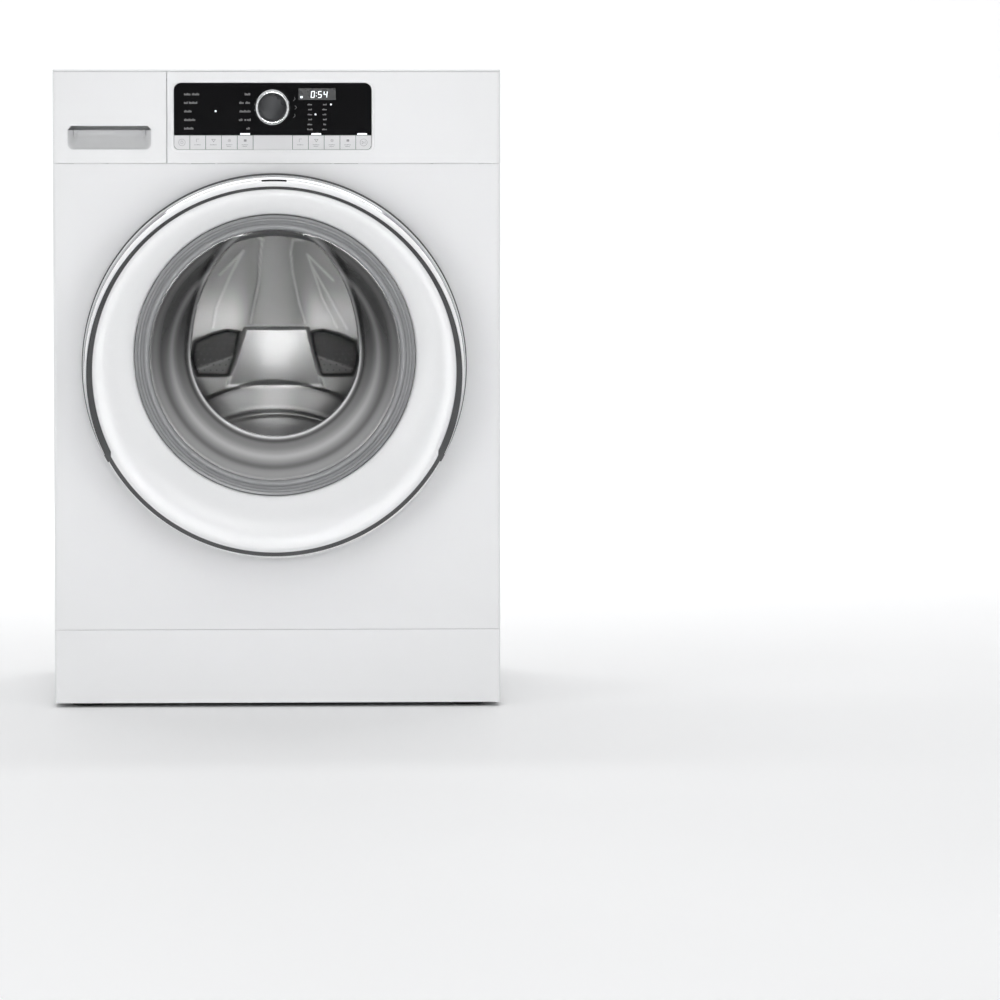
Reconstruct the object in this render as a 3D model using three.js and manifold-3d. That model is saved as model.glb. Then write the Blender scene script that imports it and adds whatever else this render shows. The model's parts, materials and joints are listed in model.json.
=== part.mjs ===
// Front load washing machine, 24 inch class, as an assembly of separate pieces.
// Millimetres. +X to the right seen from the front, +Y to the back, +Z up.
// The origin is on the floor, under the middle of the machine's outer box.
import * as THREE from 'three';
import { mergeVertices } from 'three/addons/utils/BufferGeometryUtils.js';
import Module from 'manifold-3d';

const wasm = await Module();
wasm.setup();

// ---- Driving dimensions --------------------------------------------------
const width = 595;
const height = 851;
const depth = 645;
const footHeight = 6;
const doorStandOff = 45;
const rearStandOff = 10;
const gap = 0.3;
const sheet = 1.2;
const plastic = 2.5;
const cornerRadius = 4;
const lipDepth = 9;
const holeOvershoot = 5;

const left = -width / 2;
const right = width / 2;
const doorFrontY = -depth / 2;
const frontY = doorFrontY + doorStandOff;
const backY = depth / 2 - rearStandOff;
const rearLimitY = depth / 2;

// Front: heights of the seams, and how far the front pieces wrap back.
const kickTop = 104;
const fasciaBottom = 726;
const fasciaTop = 848;
const worktopUnderside = 831;
const wrapBack = 15.5;
const returnY = frontY + wrapBack;

// Door: the rim circle, the circles of the trim's inner edge and of the well
// round it, and the window circle.
const door = { x: -3.8, z: 458, radius: 256 };
const trim = { x: -3.8, z: 446.6, radius: 249.5, endAngle: 27.5 };
const well = { z: 450.7, radius: 241.7 };
const windowCircle = { x: -3, z: 472, radius: 187 };
const rimRearY = frontY - 12.8;
const trimSeatY = doorFrontY + 10.5;
const doorBackRadius = 232;
const doorRearY = frontY - 4;
const hinge = { x: -254, y: frontY - 13, z: 458, pinRadius: 2.4, barrelRadius: 4 };
const latch = { x: 212, y: frontY - 9.5, z: 458, pinRadius: 2 };
const latchSlotLeft = 12;
const latchSlotRight = 14;

// Wash group: tub, drum and drive share one axis along Y.
const drumAxis = { x: -3, z: 472 };
const openingRadius = 175;
const tub = { radius: 265, wall: 3, frontY: -225, splitY: -60, backY: 153, mouth: 170 };
const drum = { radius: 240, wall: 1.5, frontY: -205, backY: 132, mouth: 158 };
const shaftRadius = 12;
const pulley = { radius: 140, frontY: 225, backY: 239 };
const motor = { x: -3, z: 130, radius: 58, frontY: 60, backY: 215, pulleyRadius: 12.5 };
const suspension = { x: 225, y: 60, hangerZ: 808, earZ: 640, coilRadius: 11, wireRadius: 2, turns: 9 };
const hanger = { innerX: 208, halfDepth: 14, thickness: 8 };
const damper = {
  x: 172, y: -60, radius: 16, top: 150, boreRadius: 8, rodRadius: 7, rodBottom: 60, headZ: 236,
};

// Water parts.
const pump = { x: 180, z: 62, filterRadius: 30, casingRadius: 40, splitY: -190, backY: -120 };

// Controls.
const display = { left: -136.5, right: 126, bottom: 764, top: 833, radius: 9.5 };
const keyRow = { bottom: 744.6, top: 763.7, pitch: 21, perGroup: 5, proud: 0.8 };
const knob = { x: -5.8, z: 800.6, radius: 24.7, shaftRadius: 4.5, frontY: frontY - 19 };
const drawerRight = -146;
const handle = { left: -278, right: -166.5, bottom: 744.6, top: 776.4, pocketTop: 790, depth: 25 };
const tray = { left: -286, right: -158, bottom: 750, top: 800, backY: -30 };

// Holes in the rear panel.
const rearHole = { service: 150, inlet: 15, gland: 12 };
const rearCoverRadius = 172;
const rearCoverDish = 9;

const foot = { x: 255, frontY: -225, backY: 270, radius: 22, stemRadius: 5 };

// Steps round a circle for large, medium and small circles.
const fine = 44;
const medium = 32;
const small = 12;

// ---- Materials -----------------------------------------------------------
function finish(color, roughness, metalness, opacity = 1) {
  return new THREE.MeshStandardMaterial({ color, roughness, metalness, opacity, transparent: opacity < 1 });
}
const whiteSteel = finish(0xf1f2f3, 0.32, 0.1);
const whitePlastic = finish(0xf3f4f5, 0.35, 0);
const greyPlastic = finish(0x8f9295, 0.35, 0);
const blackGloss = finish(0x0b0b0d, 0.08, 0);
const chrome = finish(0xd4d7da, 0.12, 1);
const clearGlass = finish(0xdfe6e8, 0.03, 0, 0.3);
const rubber = finish(0x5c5f61, 0.7, 0);
const stainless = finish(0xb9bcbe, 0.3, 1);
const zinc = finish(0xa7abad, 0.45, 0.9);
const iron = finish(0x6b6a67, 0.8, 0.3);
const aluminium = finish(0xb4b7ba, 0.4, 0.9);
const tubPlastic = finish(0xd5d6d2, 0.5, 0);
const darkPlastic = finish(0x2c2d2f, 0.5, 0);
const boardGreen = finish(0x2f5b40, 0.5, 0);

// ---- Solids from three.js geometries -------------------------------------
function toSolid(geometry) {
  const bare = geometry.clone();
  bare.deleteAttribute('normal');
  bare.deleteAttribute('uv');
  const merged = mergeVertices(bare, 1e-4);
  const corners = merged.index.array;
  const kept = [];
  for (let i = 0; i < corners.length; i += 3) {
    const [a, b, c] = corners.slice(i, i + 3);
    if (a !== b && b !== c && c !== a) {
      kept.push(a, b, c);
    }
  }
  const vertProperties = Float32Array.from(merged.attributes.position.array);
  return new wasm.Manifold(new wasm.Mesh({ numProp: 3, vertProperties, triVerts: Uint32Array.from(kept) }));
}

function toGeometry(solid) {
  const result = solid.getMesh();
  const geometry = new THREE.BufferGeometry();
  geometry.setAttribute('position', new THREE.BufferAttribute(result.vertProperties, 3));
  geometry.setIndex(new THREE.BufferAttribute(result.triVerts, 1));
  geometry.computeVertexNormals();
  return geometry;
}

function piece(name, solid, material) {
  const mesh = new THREE.Mesh(toGeometry(solid), material);
  mesh.name = name;
  return mesh;
}

function join(...solids) {
  return solids.reduce((whole, next) => whole.add(next));
}

function cut(base, ...tools) {
  return tools.reduce((rest, tool) => rest.subtract(tool), base);
}

function box(x0, x1, y0, y1, z0, z1) {
  const geometry = new THREE.BoxGeometry(x1 - x0, y1 - y0, z1 - z0);
  geometry.translate((x0 + x1) / 2, (y0 + y1) / 2, (z0 + z1) / 2);
  return toSolid(geometry);
}

// A solid of revolution about the line along Y through (x, z). The profile is
// a list of [radius, y]; it closes on itself, or starts and ends on the axis.
function turned(profile, x, z, steps) {
  const points = profile.map(([radius, y]) => new THREE.Vector2(radius, y));
  const onAxis = profile[0][0] === 0 && profile[profile.length - 1][0] === 0;
  if (THREE.ShapeUtils.area(points) < 0) {
    points.reverse();
  }
  if (!onAxis) {
    points.push(points[0].clone());
  }
  const geometry = new THREE.LatheGeometry(points, steps);
  geometry.translate(x, 0, z);
  return toSolid(geometry);
}

function disc(radius, y0, y1, x, z, steps) {
  return turned([[0, y0], [radius, y0], [radius, y1], [0, y1]], x, z, steps);
}

function ring(inner, outer, y0, y1, x, z, steps) {
  return turned([[inner, y0], [outer, y0], [outer, y1], [inner, y1]], x, z, steps);
}

// An upright round bar or tube about the line along Z through (x, y).
function upright(solidAlongY, x, y) {
  return solidAlongY.rotate([90, 0, 0]).translate([x, y, 0]);
}

function post(radius, z0, z1, x, y, steps) {
  return upright(disc(radius, z0, z1, 0, 0, steps), x, y);
}

function extruded(shape, length, steps) {
  return new THREE.ExtrudeGeometry(shape, { depth: length, bevelEnabled: false, curveSegments: steps });
}

// An outline drawn in (x, y), pushed up from z0 to z1.
function raised(shape, z0, z1, steps = 4) {
  const geometry = extruded(shape, z1 - z0, steps);
  geometry.translate(0, 0, z0);
  return toSolid(geometry);
}

// An outline drawn in (x, z), pushed back from y0 to y1.
function pushed(shape, y0, y1, steps = 4) {
  const geometry = extruded(shape, y1 - y0, steps);
  geometry.rotateX(Math.PI / 2);
  geometry.translate(0, y1, 0);
  return toSolid(geometry);
}

// An outline drawn in (y, z), pushed sideways from x0 to x1.
function sideways(shape, x0, x1, steps = 4) {
  const geometry = extruded(shape, x1 - x0, steps);
  geometry.rotateX(Math.PI / 2);
  geometry.rotateZ(Math.PI / 2);
  geometry.translate(x0, 0, 0);
  return toSolid(geometry);
}

function polygon(points) {
  return new THREE.Shape(points.map(([a, b]) => new THREE.Vector2(a, b)));
}

// The plan of a front piece: a skin across the front that turns back at both
// ends, with a rounded corner at each end that meets the cabinet's side.
function frontPlan(x0, x1, leftRadius, rightRadius, wall) {
  const shape = new THREE.Shape();
  shape.moveTo(x0, returnY);
  shape.lineTo(x0, frontY + leftRadius);
  shape.absarc(x0 + leftRadius, frontY + leftRadius, leftRadius, Math.PI, 1.5 * Math.PI, false);
  shape.lineTo(x1 - rightRadius, frontY);
  shape.absarc(x1 - rightRadius, frontY + rightRadius, rightRadius, 1.5 * Math.PI, 2 * Math.PI, false);
  shape.lineTo(x1, returnY);
  shape.lineTo(x1 - wall, returnY);
  shape.lineTo(x1 - wall, frontY + Math.max(rightRadius, wall));
  shape.lineTo(x1 - Math.max(rightRadius, wall), frontY + wall);
  shape.lineTo(x0 + Math.max(leftRadius, wall), frontY + wall);
  shape.lineTo(x0 + wall, frontY + Math.max(leftRadius, wall));
  shape.lineTo(x0 + wall, returnY);
  return shape;
}

// ---- Cabinet -------------------------------------------------------------
function sidePanel(name, side) {
  const outer = side * right;
  const inner = outer - side * sheet;
  const lip = outer - side * lipDepth;
  const start = returnY + gap;
  const end = backY - 1.5;
  const plan = polygon([
    [outer, start], [outer, end], [lip, end], [lip, end - sheet],
    [inner, end - sheet], [inner, start + sheet], [lip, start + sheet], [lip, start],
  ]);
  const reach = side * hanger.innerX;
  const { y, hangerZ } = suspension;
  const springHanger = box(Math.min(inner, reach) - 0.1, Math.max(inner, reach) + 0.1,
    y - hanger.halfDepth, y + hanger.halfDepth, hangerZ, hangerZ + hanger.thickness);
  return piece(name, join(raised(plan, footHeight, worktopUnderside), springHanger), whiteSteel);
}

function rearPanel() {
  const plate = box(left + 1, right - 1, backY - sheet, backY, footHeight + 20, worktopUnderside);
  const [y0, y1] = [backY - holeOvershoot, backY + holeOvershoot];
  const serviceHole = disc(rearHole.service, y0, y1, drumAxis.x, drumAxis.z, fine);
  const inletHoles = inlets.map((x) => disc(rearHole.inlet, y0, y1, x, inletZ, small));
  const glandHole = disc(rearHole.gland, y0, y1, gland.x, gland.z, small);
  return piece('rear_panel', cut(plate, serviceHole, ...inletHoles, glandHole), whiteSteel);
}

function rearCover() {
  const seatY = backY + gap;
  const crown = backY + rearCoverDish;
  const profile = [
    [0, crown - 1.5], [148, crown - 1.5], [156, seatY], [rearCoverRadius, seatY],
    [rearCoverRadius, seatY + sheet], [157, seatY + sheet], [149, crown], [0, crown],
  ];
  return piece('rear_access_cover', turned(profile, drumAxis.x, drumAxis.z, fine), whiteSteel);
}

function frontPanel() {
  const skin = raised(frontPlan(left, right, cornerRadius, cornerRadius, sheet), kickTop + gap, fasciaBottom);
  const [y0, y1] = [frontY - holeOvershoot, frontY + holeOvershoot];
  const hole = disc(openingRadius, y0, y1, drumAxis.x, drumAxis.z, fine);
  const lip = ring(openingRadius, openingRadius + sheet, frontY + 0.5, returnY - 2,
    drumAxis.x, drumAxis.z, fine);
  const latchSlot = box(latch.x - latchSlotLeft, latch.x + latchSlotRight, y0, y1, latch.z - 10, latch.z + 10);
  return piece('front_panel', cut(join(skin, lip), hole, latchSlot), whiteSteel);
}

function kickPlate() {
  const skin = raised(frontPlan(left, right, cornerRadius, cornerRadius, plastic), footHeight, kickTop);
  return piece('kick_plate', skin, whitePlastic);
}

function topPanel() {
  const plan = new THREE.Shape();
  plan.moveTo(left, rearLimitY - rearStandOff);
  plan.lineTo(left, frontY + cornerRadius);
  plan.absarc(left + cornerRadius, frontY + cornerRadius, cornerRadius, Math.PI, 1.5 * Math.PI, false);
  plan.lineTo(right - cornerRadius, frontY);
  plan.absarc(right - cornerRadius, frontY + cornerRadius, cornerRadius, 1.5 * Math.PI, 2 * Math.PI, false);
  plan.lineTo(right, rearLimitY - rearStandOff);
  const slab = raised(plan, worktopUnderside + gap, height);
  const lipRelief = box(left - 1, right + 1, frontY - 1, returnY + 4, worktopUnderside - 1, fasciaTop + gap);
  return piece('top_panel', cut(slab, lipRelief), whitePlastic);
}

function baseTray() {
  const plate = box(left + sheet + gap, right - sheet - gap, returnY + 2, backY - 3.2,
    footHeight, footHeight + 3);
  const stemHoles = footPlaces.map(([x, y]) => post(foot.stemRadius + gap, 0, 20, x, y, small));
  return piece('base_tray', cut(plate, ...stemHoles), zinc);
}

function levellingFoot(name, [x, y]) {
  const pad = post(foot.radius, 0, footHeight - 0.5, x, y, 20);
  const stem = post(foot.stemRadius, 1, 40, x, y, small);
  return piece(name, join(pad, stem), darkPlastic);
}

// ---- Control panel -------------------------------------------------------
function keyPocket(x0) {
  const x1 = x0 + keyRow.perGroup * keyRow.pitch;
  return box(x0, x1, frontY - holeOvershoot, frontY + holeOvershoot, keyRow.bottom, keyRow.top);
}

function windowOutline(margin) {
  const { left: x0, right: x1, bottom, top, radius } = display;
  const shape = new THREE.Shape();
  shape.moveTo(x0 - margin, bottom - margin);
  shape.lineTo(x1 + margin, bottom - margin);
  shape.absarc(x1 - radius, top - radius, radius + margin, 0, Math.PI / 2, false);
  shape.absarc(x0 + radius, top - radius, radius + margin, Math.PI / 2, Math.PI, false);
  return shape;
}

function controlFascia() {
  const x0 = drawerRight + gap;
  const skin = raised(frontPlan(x0, right, 0.5, cornerRadius, plastic), fasciaBottom + gap, fasciaTop);
  const floor = box(x0 + 1, right - 3, frontY + 1, returnY, fasciaBottom + gap, fasciaBottom + gap + plastic);
  const roof = box(x0 + 1, right - 3, frontY + 1, returnY, fasciaTop - plastic, fasciaTop);
  const windowHole = pushed(windowOutline(gap), frontY - holeOvershoot, frontY + holeOvershoot);
  const pockets = keyGroups.map(keyPocket);
  return piece('control_fascia', cut(join(skin, floor, roof), windowHole, ...pockets), whitePlastic);
}

function displayWindow() {
  const plate = pushed(windowOutline(0), frontY - keyRow.proud, frontY + plastic);
  const [y0, y1] = [frontY - holeOvershoot, frontY + holeOvershoot];
  const shaftHole = disc(knob.shaftRadius + 1, y0, y1, knob.x, knob.z, small);
  return piece('display_window', cut(plate, shaftHole), blackGloss);
}

function controlKey(name, x0) {
  const x1 = x0 + keyRow.pitch;
  const middle = (x0 + x1) / 2;
  const cap = box(x0 + gap, x1 - gap, frontY - keyRow.proud, frontY + plastic,
    keyRow.bottom + gap, keyRow.top - gap);
  const centreZ = (keyRow.bottom + keyRow.top) / 2;
  const plunger = box(middle - 3, middle + 3, frontY + 1, boardY - 3, centreZ - 3, centreZ + 3);
  return piece(name, join(cap, plunger), whitePlastic);
}

function controlBoard() {
  const board = box(display.left, display.right, boardY, boardY + 2, keyRow.bottom - 4, worktopUnderside - 1);
  const switchZ = (keyRow.bottom + keyRow.top) / 2;
  const switches = keyGroups.flatMap((start) => keyOffsets.map((offset) => {
    const x = start + offset + keyRow.pitch / 2;
    return box(x - 4, x + 4, boardY - 1.8, boardY + 1, switchZ - 4, switchZ + 4);
  }));
  const encoder = box(knob.x - 9, knob.x + 9, boardY - encoderDepth, boardY + 1, knob.z - 9, knob.z + 9);
  const figureTube = box(knob.x + 28, knob.x + 72, boardY - 6, boardY + 1, knob.z + 8, knob.z + 24);
  return piece('control_board', join(board, encoder, figureTube, ...switches), boardGreen);
}

function programKnob() {
  const knobRearY = frontY - keyRow.proud - 0.6;
  const shaftEndY = boardY - encoderDepth - 0.4;
  const profile = [
    [0, knob.frontY], [knob.radius - 4, knob.frontY], [knob.radius - 1.5, knob.frontY + 2],
    [knob.radius, knobRearY], [knob.shaftRadius, knobRearY], [knob.shaftRadius, shaftEndY], [0, shaftEndY],
  ];
  return piece('program_knob', turned(profile, knob.x, knob.z, medium), chrome);
}

// ---- Detergent drawer ----------------------------------------------------
function drawerFront() {
  const x1 = drawerRight - gap;
  const skin = raised(frontPlan(left, x1, cornerRadius, 0.5, plastic), fasciaBottom + gap, fasciaTop);
  const floor = box(left + 3, x1 - 1, frontY + 1, returnY, fasciaBottom + gap, fasciaBottom + gap + plastic);
  const roof = box(left + 3, x1 - 1, frontY + 1, returnY, fasciaTop - plastic, fasciaTop);
  const backWallY = frontY + handle.depth;
  const cup = box(handle.left - plastic, handle.right + plastic, frontY + 1, backWallY + plastic,
    handle.bottom - plastic, handle.pocketTop + plastic);
  const mouth = box(handle.left, handle.right, frontY - holeOvershoot, frontY + plastic,
    handle.bottom, handle.top);
  const scoop = new THREE.Shape();
  scoop.moveTo(frontY + plastic - 0.1, handle.bottom);
  scoop.quadraticCurveTo(backWallY, handle.bottom, backWallY, handle.top - 8);
  scoop.lineTo(backWallY, handle.pocketTop);
  scoop.lineTo(frontY + plastic - 0.1, handle.pocketTop);
  const hollow = sideways(scoop, handle.left, handle.right, 6);
  return piece('drawer_front', cut(join(skin, floor, roof, cup), mouth, hollow), whitePlastic);
}

const trayFrontY = frontY + handle.depth + plastic + gap;
const trayWall = 2;
const compartments = [
  { left: tray.left + trayWall, right: -246 },
  { left: -244, right: -200 },
  { left: -198, right: tray.right - trayWall },
];

function drawerTray() {
  const body = box(tray.left, tray.right, trayFrontY, tray.backY, tray.bottom, tray.top);
  const [y0, y1] = [trayFrontY + trayWall, tray.backY - trayWall];
  const [z0, z1] = [tray.bottom + plastic, tray.top + holeOvershoot];
  const wells = compartments.map((well) => box(well.left, well.right, y0, y1, z0, z1));
  return piece('drawer_tray', cut(body, ...wells), greyPlastic);
}

function dispenserHousing() {
  const mouthY = trayFrontY + 3;
  const { left: x0, right: x1, bottom, top, backY: rear } = tray;
  const shell = box(x0 - 4, x1 + 4, mouthY, rear + 8, bottom - 4, top + 22);
  const room = box(x0 - 1.5, x1 + 1.5, mouthY - holeOvershoot, rear + 5.5, bottom - 1.2, top + 12);
  return piece('dispenser_housing', cut(shell, room), tubPlastic);
}

// ---- Door ----------------------------------------------------------------
// Centre angles of the trim's ends, measured from +X towards +Z.
const trimStart = -trim.endAngle * Math.PI / 180;
const trimEnd = Math.PI - trimStart;

// A crescent between a circle about the door's centre and a lower one, over
// the top from the four to the eight o'clock end.
function crescent(outer, innerZ, inner, spread) {
  const shape = new THREE.Shape();
  shape.absarc(door.x, door.z, outer, trimStart - spread, trimEnd + spread, false);
  shape.absarc(trim.x, innerZ, inner, trimEnd + spread, trimStart - spread, true);
  return shape;
}

function doorOuterRing() {
  const rimFront = doorFrontY + 1;
  const profile = [
    [183, rimFront + 18], [205, rimFront + 7], [222, rimFront + 2], [250, rimFront],
    [door.radius - 0.5, rimFront + 3.5], [door.radius - 0.5, rimRearY - 5.7], [door.radius - 4, rimRearY],
    [doorBackRadius, rimRearY], [doorBackRadius, rimRearY - 2.7], [249, rimRearY - 2.7],
    [249, trimSeatY + 4], [228, trimSeatY + 4], [205, rimFront + 10], [183, rimFront + 21],
  ];
  const shell = turned(profile, door.x, door.z, fine);
  const { x, z, radius } = windowCircle;
  const ahead = doorFrontY - holeOvershoot;
  const windowHole = disc(radius - 0.2, ahead, frontY, x, z, fine);
  const seat = pushed(crescent(door.radius + 6, well.z, well.radius, 0.03), ahead, trimSeatY, 24);
  const hingePocket = box(hinge.x - 4.6, hinge.x + 26, rimRearY - 8, rimRearY + 2, hinge.z - 33, hinge.z + 33);
  const cleared = cut(shell, windowHole, seat, hingePocket);
  return piece('door_outer_ring', cleared, whitePlastic);
}

function doorChromeTrim() {
  const bar = pushed(crescent(door.radius - 0.1, trim.z, trim.radius, 0), doorFrontY, trimSeatY - gap, 20);
  const bevel = turned([
    [door.radius - 6, doorFrontY - 1], [door.radius + 2, doorFrontY - 1], [door.radius + 2, doorFrontY + 8],
  ], door.x, door.z, fine);
  return piece('door_chrome_trim', cut(bar, bevel), chrome);
}

function doorInnerFrame() {
  const bezel = turned([
    [167, frontY - 25.5], [182, frontY - 31.5], [windowCircle.radius - 0.5, frontY - 29],
    [windowCircle.radius - 0.5, doorRearY], [167, doorRearY], [167, glassSeatY + gap],
    [172.4, glassSeatY + gap], [172.4, glassFaceY - gap], [167, glassFaceY - gap],
  ], windowCircle.x, windowCircle.z, fine);
  const plate = disc(doorBackRadius - gap, doorRearY - 3, doorRearY, door.x, door.z, fine);
  const plateHole = disc(176, doorRearY - 10, doorRearY + 5, windowCircle.x, windowCircle.z, fine);
  const wall = ring(doorBackRadius - 3, doorBackRadius - gap, doorRearY - 14, doorRearY, door.x, door.z, fine);
  const knuckle = post(hinge.barrelRadius, hinge.z - 18, hinge.z + 18, hinge.x, hinge.y, small);
  const leaf = box(hinge.x, hinge.x + 25, hinge.y - 3, hinge.y + 1, hinge.z - 18, hinge.z + 18);
  const pinBore = post(hinge.pinRadius + gap, hinge.z - 30, hinge.z + 30, hinge.x, hinge.y, small);
  const cheekInner = 6.4;
  const cheekOuter = 11;
  const latchCheeks = [-cheekOuter, cheekInner].map((bottom) => box(latch.x - 5, latch.x + 5,
    latch.y - 4, doorRearY - 1, latch.z + bottom, latch.z + bottom + cheekOuter - cheekInner));
  const latchBore = post(latch.pinRadius + gap, latch.z - 15, latch.z + 15, latch.x, latch.y, small);
  const latchWindow = box(latch.x - 9, latch.x + 5, doorRearY - 5, doorRearY + 2,
    latch.z - cheekInner, latch.z + cheekInner);
  const body = join(cut(plate, plateHole), bezel, wall, knuckle, leaf);
  const frame = join(cut(body, latchWindow), ...latchCheeks);
  return piece('door_inner_frame', cut(frame, pinBore, latchBore), greyPlastic);
}

const glassFaceY = frontY - 19;
const glassSeatY = glassFaceY + 5;

function doorGlass() {
  const profile = [
    [0, -181], [58, -183], [107, -189], [113, -195], [160, glassFaceY], [171, glassFaceY],
    [171, glassSeatY], [165, glassSeatY], [118, -192], [112, -184.5], [60, -178], [0, -176],
  ];
  return piece('door_glass', turned(profile, windowCircle.x, windowCircle.z, medium), clearGlass);
}

function hingeBracket() {
  const plateY = frontY - gap;
  const plate = box(hinge.x + 6, hinge.x + 46, plateY - 3, plateY, hinge.z - 30, hinge.z + 30);
  const ears = [-1, 1].map((side) => {
    const z0 = hinge.z + Math.min(side * 20, side * 30);
    const barrel = post(hinge.barrelRadius, z0, z0 + 10, hinge.x, hinge.y, small);
    const arm = polygon([
      [hinge.x - 1, hinge.y + 3.4], [hinge.x + 2, hinge.y - 2], [hinge.x + 14, plateY - 4],
      [hinge.x + 14, plateY], [hinge.x + 6, plateY],
    ]);
    return join(barrel, raised(arm, z0, z0 + 10));
  });
  const pin = post(hinge.pinRadius, hinge.z - 30, hinge.z + 30, hinge.x, hinge.y, small);
  return piece('door_hinge_bracket', join(plate, ...ears, pin), zinc);
}

function latchHook() {
  const outline = polygon([
    [latch.x - 3, latch.y - 3], [latch.x + 3, latch.y - 3], [latch.x + 3, frontY + 8],
    [latch.x + 8, frontY + 8], [latch.x + 3, frontY + 15], [latch.x - 3, frontY + 15],
  ]);
  const blade = raised(outline, latch.z - 6, latch.z + 6);
  const pin = post(latch.pinRadius, latch.z - 10, latch.z + 10, latch.x, latch.y, small);
  return piece('door_latch_hook', join(blade, pin), zinc);
}

function doorLock() {
  const body = box(latch.x - 18, latch.x + 24, frontY + sheet + gap, frontY + 32, latch.z - 26, latch.z + 26);
  const slot = box(latch.x - latchSlotLeft, latch.x + latchSlotRight, frontY - 2, frontY + 20,
    latch.z - 10, latch.z + 10);
  return piece('door_lock', cut(body, slot), darkPlastic);
}

function doorGasket() {
  const clamp = openingRadius - 1.2;
  const profile = [
    [clamp, frontY + 3], [clamp, frontY + 20], [166, frontY + 26], [168, frontY + 34],
    [tub.mouth - gap, tub.frontY - 6], [tub.mouth - gap, tub.frontY + 4], [160, tub.frontY + 8],
    [154, tub.frontY + 12], [150, tub.frontY + 8], [157, tub.frontY + 2], [164, tub.frontY - 6],
    [161, frontY + 35], [152, frontY + 28], [150, frontY + 20], [160, frontY + 14], [165, frontY + 3],
  ];
  return piece('door_gasket', turned(profile, drumAxis.x, drumAxis.z, medium), rubber);
}

// ---- Tub, drum and suspension --------------------------------------------
function tubFront() {
  const { radius, wall, frontY: y0, splitY, mouth } = tub;
  const profile = [
    [mouth, y0 - 7], [mouth + wall, y0 - 7], [mouth + wall, y0], [radius - 6, y0], [radius, y0 + 8],
    [radius, splitY], [radius - wall, splitY], [radius - wall, y0 + 9], [radius - 7, y0 + wall],
    [mouth, y0 + wall],
  ];
  return piece('tub_front', turned(profile, drumAxis.x, drumAxis.z, medium), tubPlastic);
}

function tubRear() {
  const { radius, wall, splitY, backY: y1 } = tub;
  const profile = [
    [radius - wall, splitY + gap], [radius, splitY + gap], [radius, y1 - 8], [radius - 8, y1],
    [42, y1], [38, y1 + 52], [26, y1 + 52], [26, y1 - wall - 1], [radius - 10, y1 - wall - 1],
    [radius - wall, y1 - 10],
  ];
  const shell = turned(profile, drumAxis.x, drumAxis.z, medium);
  const ears = [-1, 1].map((side) => box(side * suspension.x - 9, side * suspension.x + 9,
    suspension.y - 8, suspension.y + 8, drumAxis.z + 125, suspension.earZ));
  const hollow = disc(radius - wall / 2, splitY - 5, y1 - 12, drumAxis.x, drumAxis.z, medium);
  const trimmedEars = ears.map((ear) => cut(ear, hollow));
  return piece('tub_rear', join(shell, ...trimmedEars), tubPlastic);
}

function counterweightTop() {
  const halfWidth = 115;
  const block = box(drumAxis.x - halfWidth, drumAxis.x + halfWidth, 0, 140,
    drumAxis.z + tub.radius - 40, drumAxis.z + tub.radius + 34);
  const saddle = disc(tub.radius + gap, -10, 150, drumAxis.x, drumAxis.z, 96);
  return piece('counterweight_top', cut(block, saddle), iron);
}

function counterweightFront() {
  const shape = new THREE.Shape();
  const sweep = 0.36 * Math.PI;
  const from = 1.5 * Math.PI - sweep;
  const to = 1.5 * Math.PI + sweep;
  shape.absarc(drumAxis.x, drumAxis.z, tub.radius - 7, from, to, false);
  shape.absarc(drumAxis.x, drumAxis.z, tub.mouth + 16, to, from, true);
  return piece('counterweight_front', pushed(shape, tub.frontY - 32, tub.frontY - gap, 14), iron);
}

function washDrum() {
  const { radius, wall, frontY: y0, backY: y1, mouth } = drum;
  const profile = [
    [mouth, y0 - 5], [mouth + wall, y0 - 5], [mouth + 6, y0], [radius - 5, y0], [radius, y0 + 5],
    [radius, y1 - 5], [radius - 5, y1], [0, y1], [0, y1 - wall], [radius - 6, y1 - wall],
    [radius - wall, y1 - 6], [radius - wall, y0 + 6], [radius - 6, y0 + wall], [mouth, y0 + wall],
  ];
  return piece('wash_drum', turned(profile, drumAxis.x, drumAxis.z, medium), stainless);
}

function drumLifter(name, angle) {
  const base = drum.radius - drum.wall - 3.2;
  const outline = polygon([
    [-26, -base], [26, -base], [14, 26 - base], [7, 52 - base], [-7, 52 - base], [-14, 26 - base],
  ]);
  const bar = pushed(outline, drum.frontY + 14, drum.backY - 12);
  const turnedBar = bar.rotate([0, angle, 0]).translate([drumAxis.x, 0, drumAxis.z]);
  return piece(name, turnedBar, greyPlastic);
}

function drumSpider() {
  const y0 = drum.backY + gap;
  const arms = [0, 1, 2].map((i) => box(-14, 14, y0, y0 + 12, 0, 222).rotate([0, i * 120 + 60, 0]));
  const hub = disc(46, y0, y0 + 14, 0, 0, medium);
  const axle = disc(shaftRadius, y0, pulley.backY + 6, 0, 0, small);
  return piece('drum_spider', join(hub, axle, ...arms).translate([drumAxis.x, 0, drumAxis.z]), aluminium);
}

function bearingCartridge() {
  const sleeve = ring(shaftRadius + gap, 25.7, tub.backY + 1, tub.backY + 51, drumAxis.x, drumAxis.z, medium);
  return piece('bearing_cartridge', sleeve, stainless);
}

function drumPulley() {
  const { radius, frontY: y0, backY: y1 } = pulley;
  const wheel = turned([
    [shaftRadius + gap, y0 - 4], [26, y0 - 4], [30, y0 + 4], [radius - 8, y0 + 4], [radius - 6, y0],
    [radius, y0], [radius, y1], [radius - 8, y0 + 9], [shaftRadius + gap, y0 + 9],
  ], drumAxis.x, drumAxis.z, medium);
  return piece('drum_pulley', wheel, aluminium);
}

function motorPulley() {
  const shaft = disc(6, motor.backY + gap, pulley.backY + 3, motor.x, motor.z, small);
  const wheel = disc(motor.pulleyRadius, pulley.frontY, pulley.backY, motor.x, motor.z, 20);
  return piece('motor_pulley', join(shaft, wheel), zinc);
}

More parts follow.
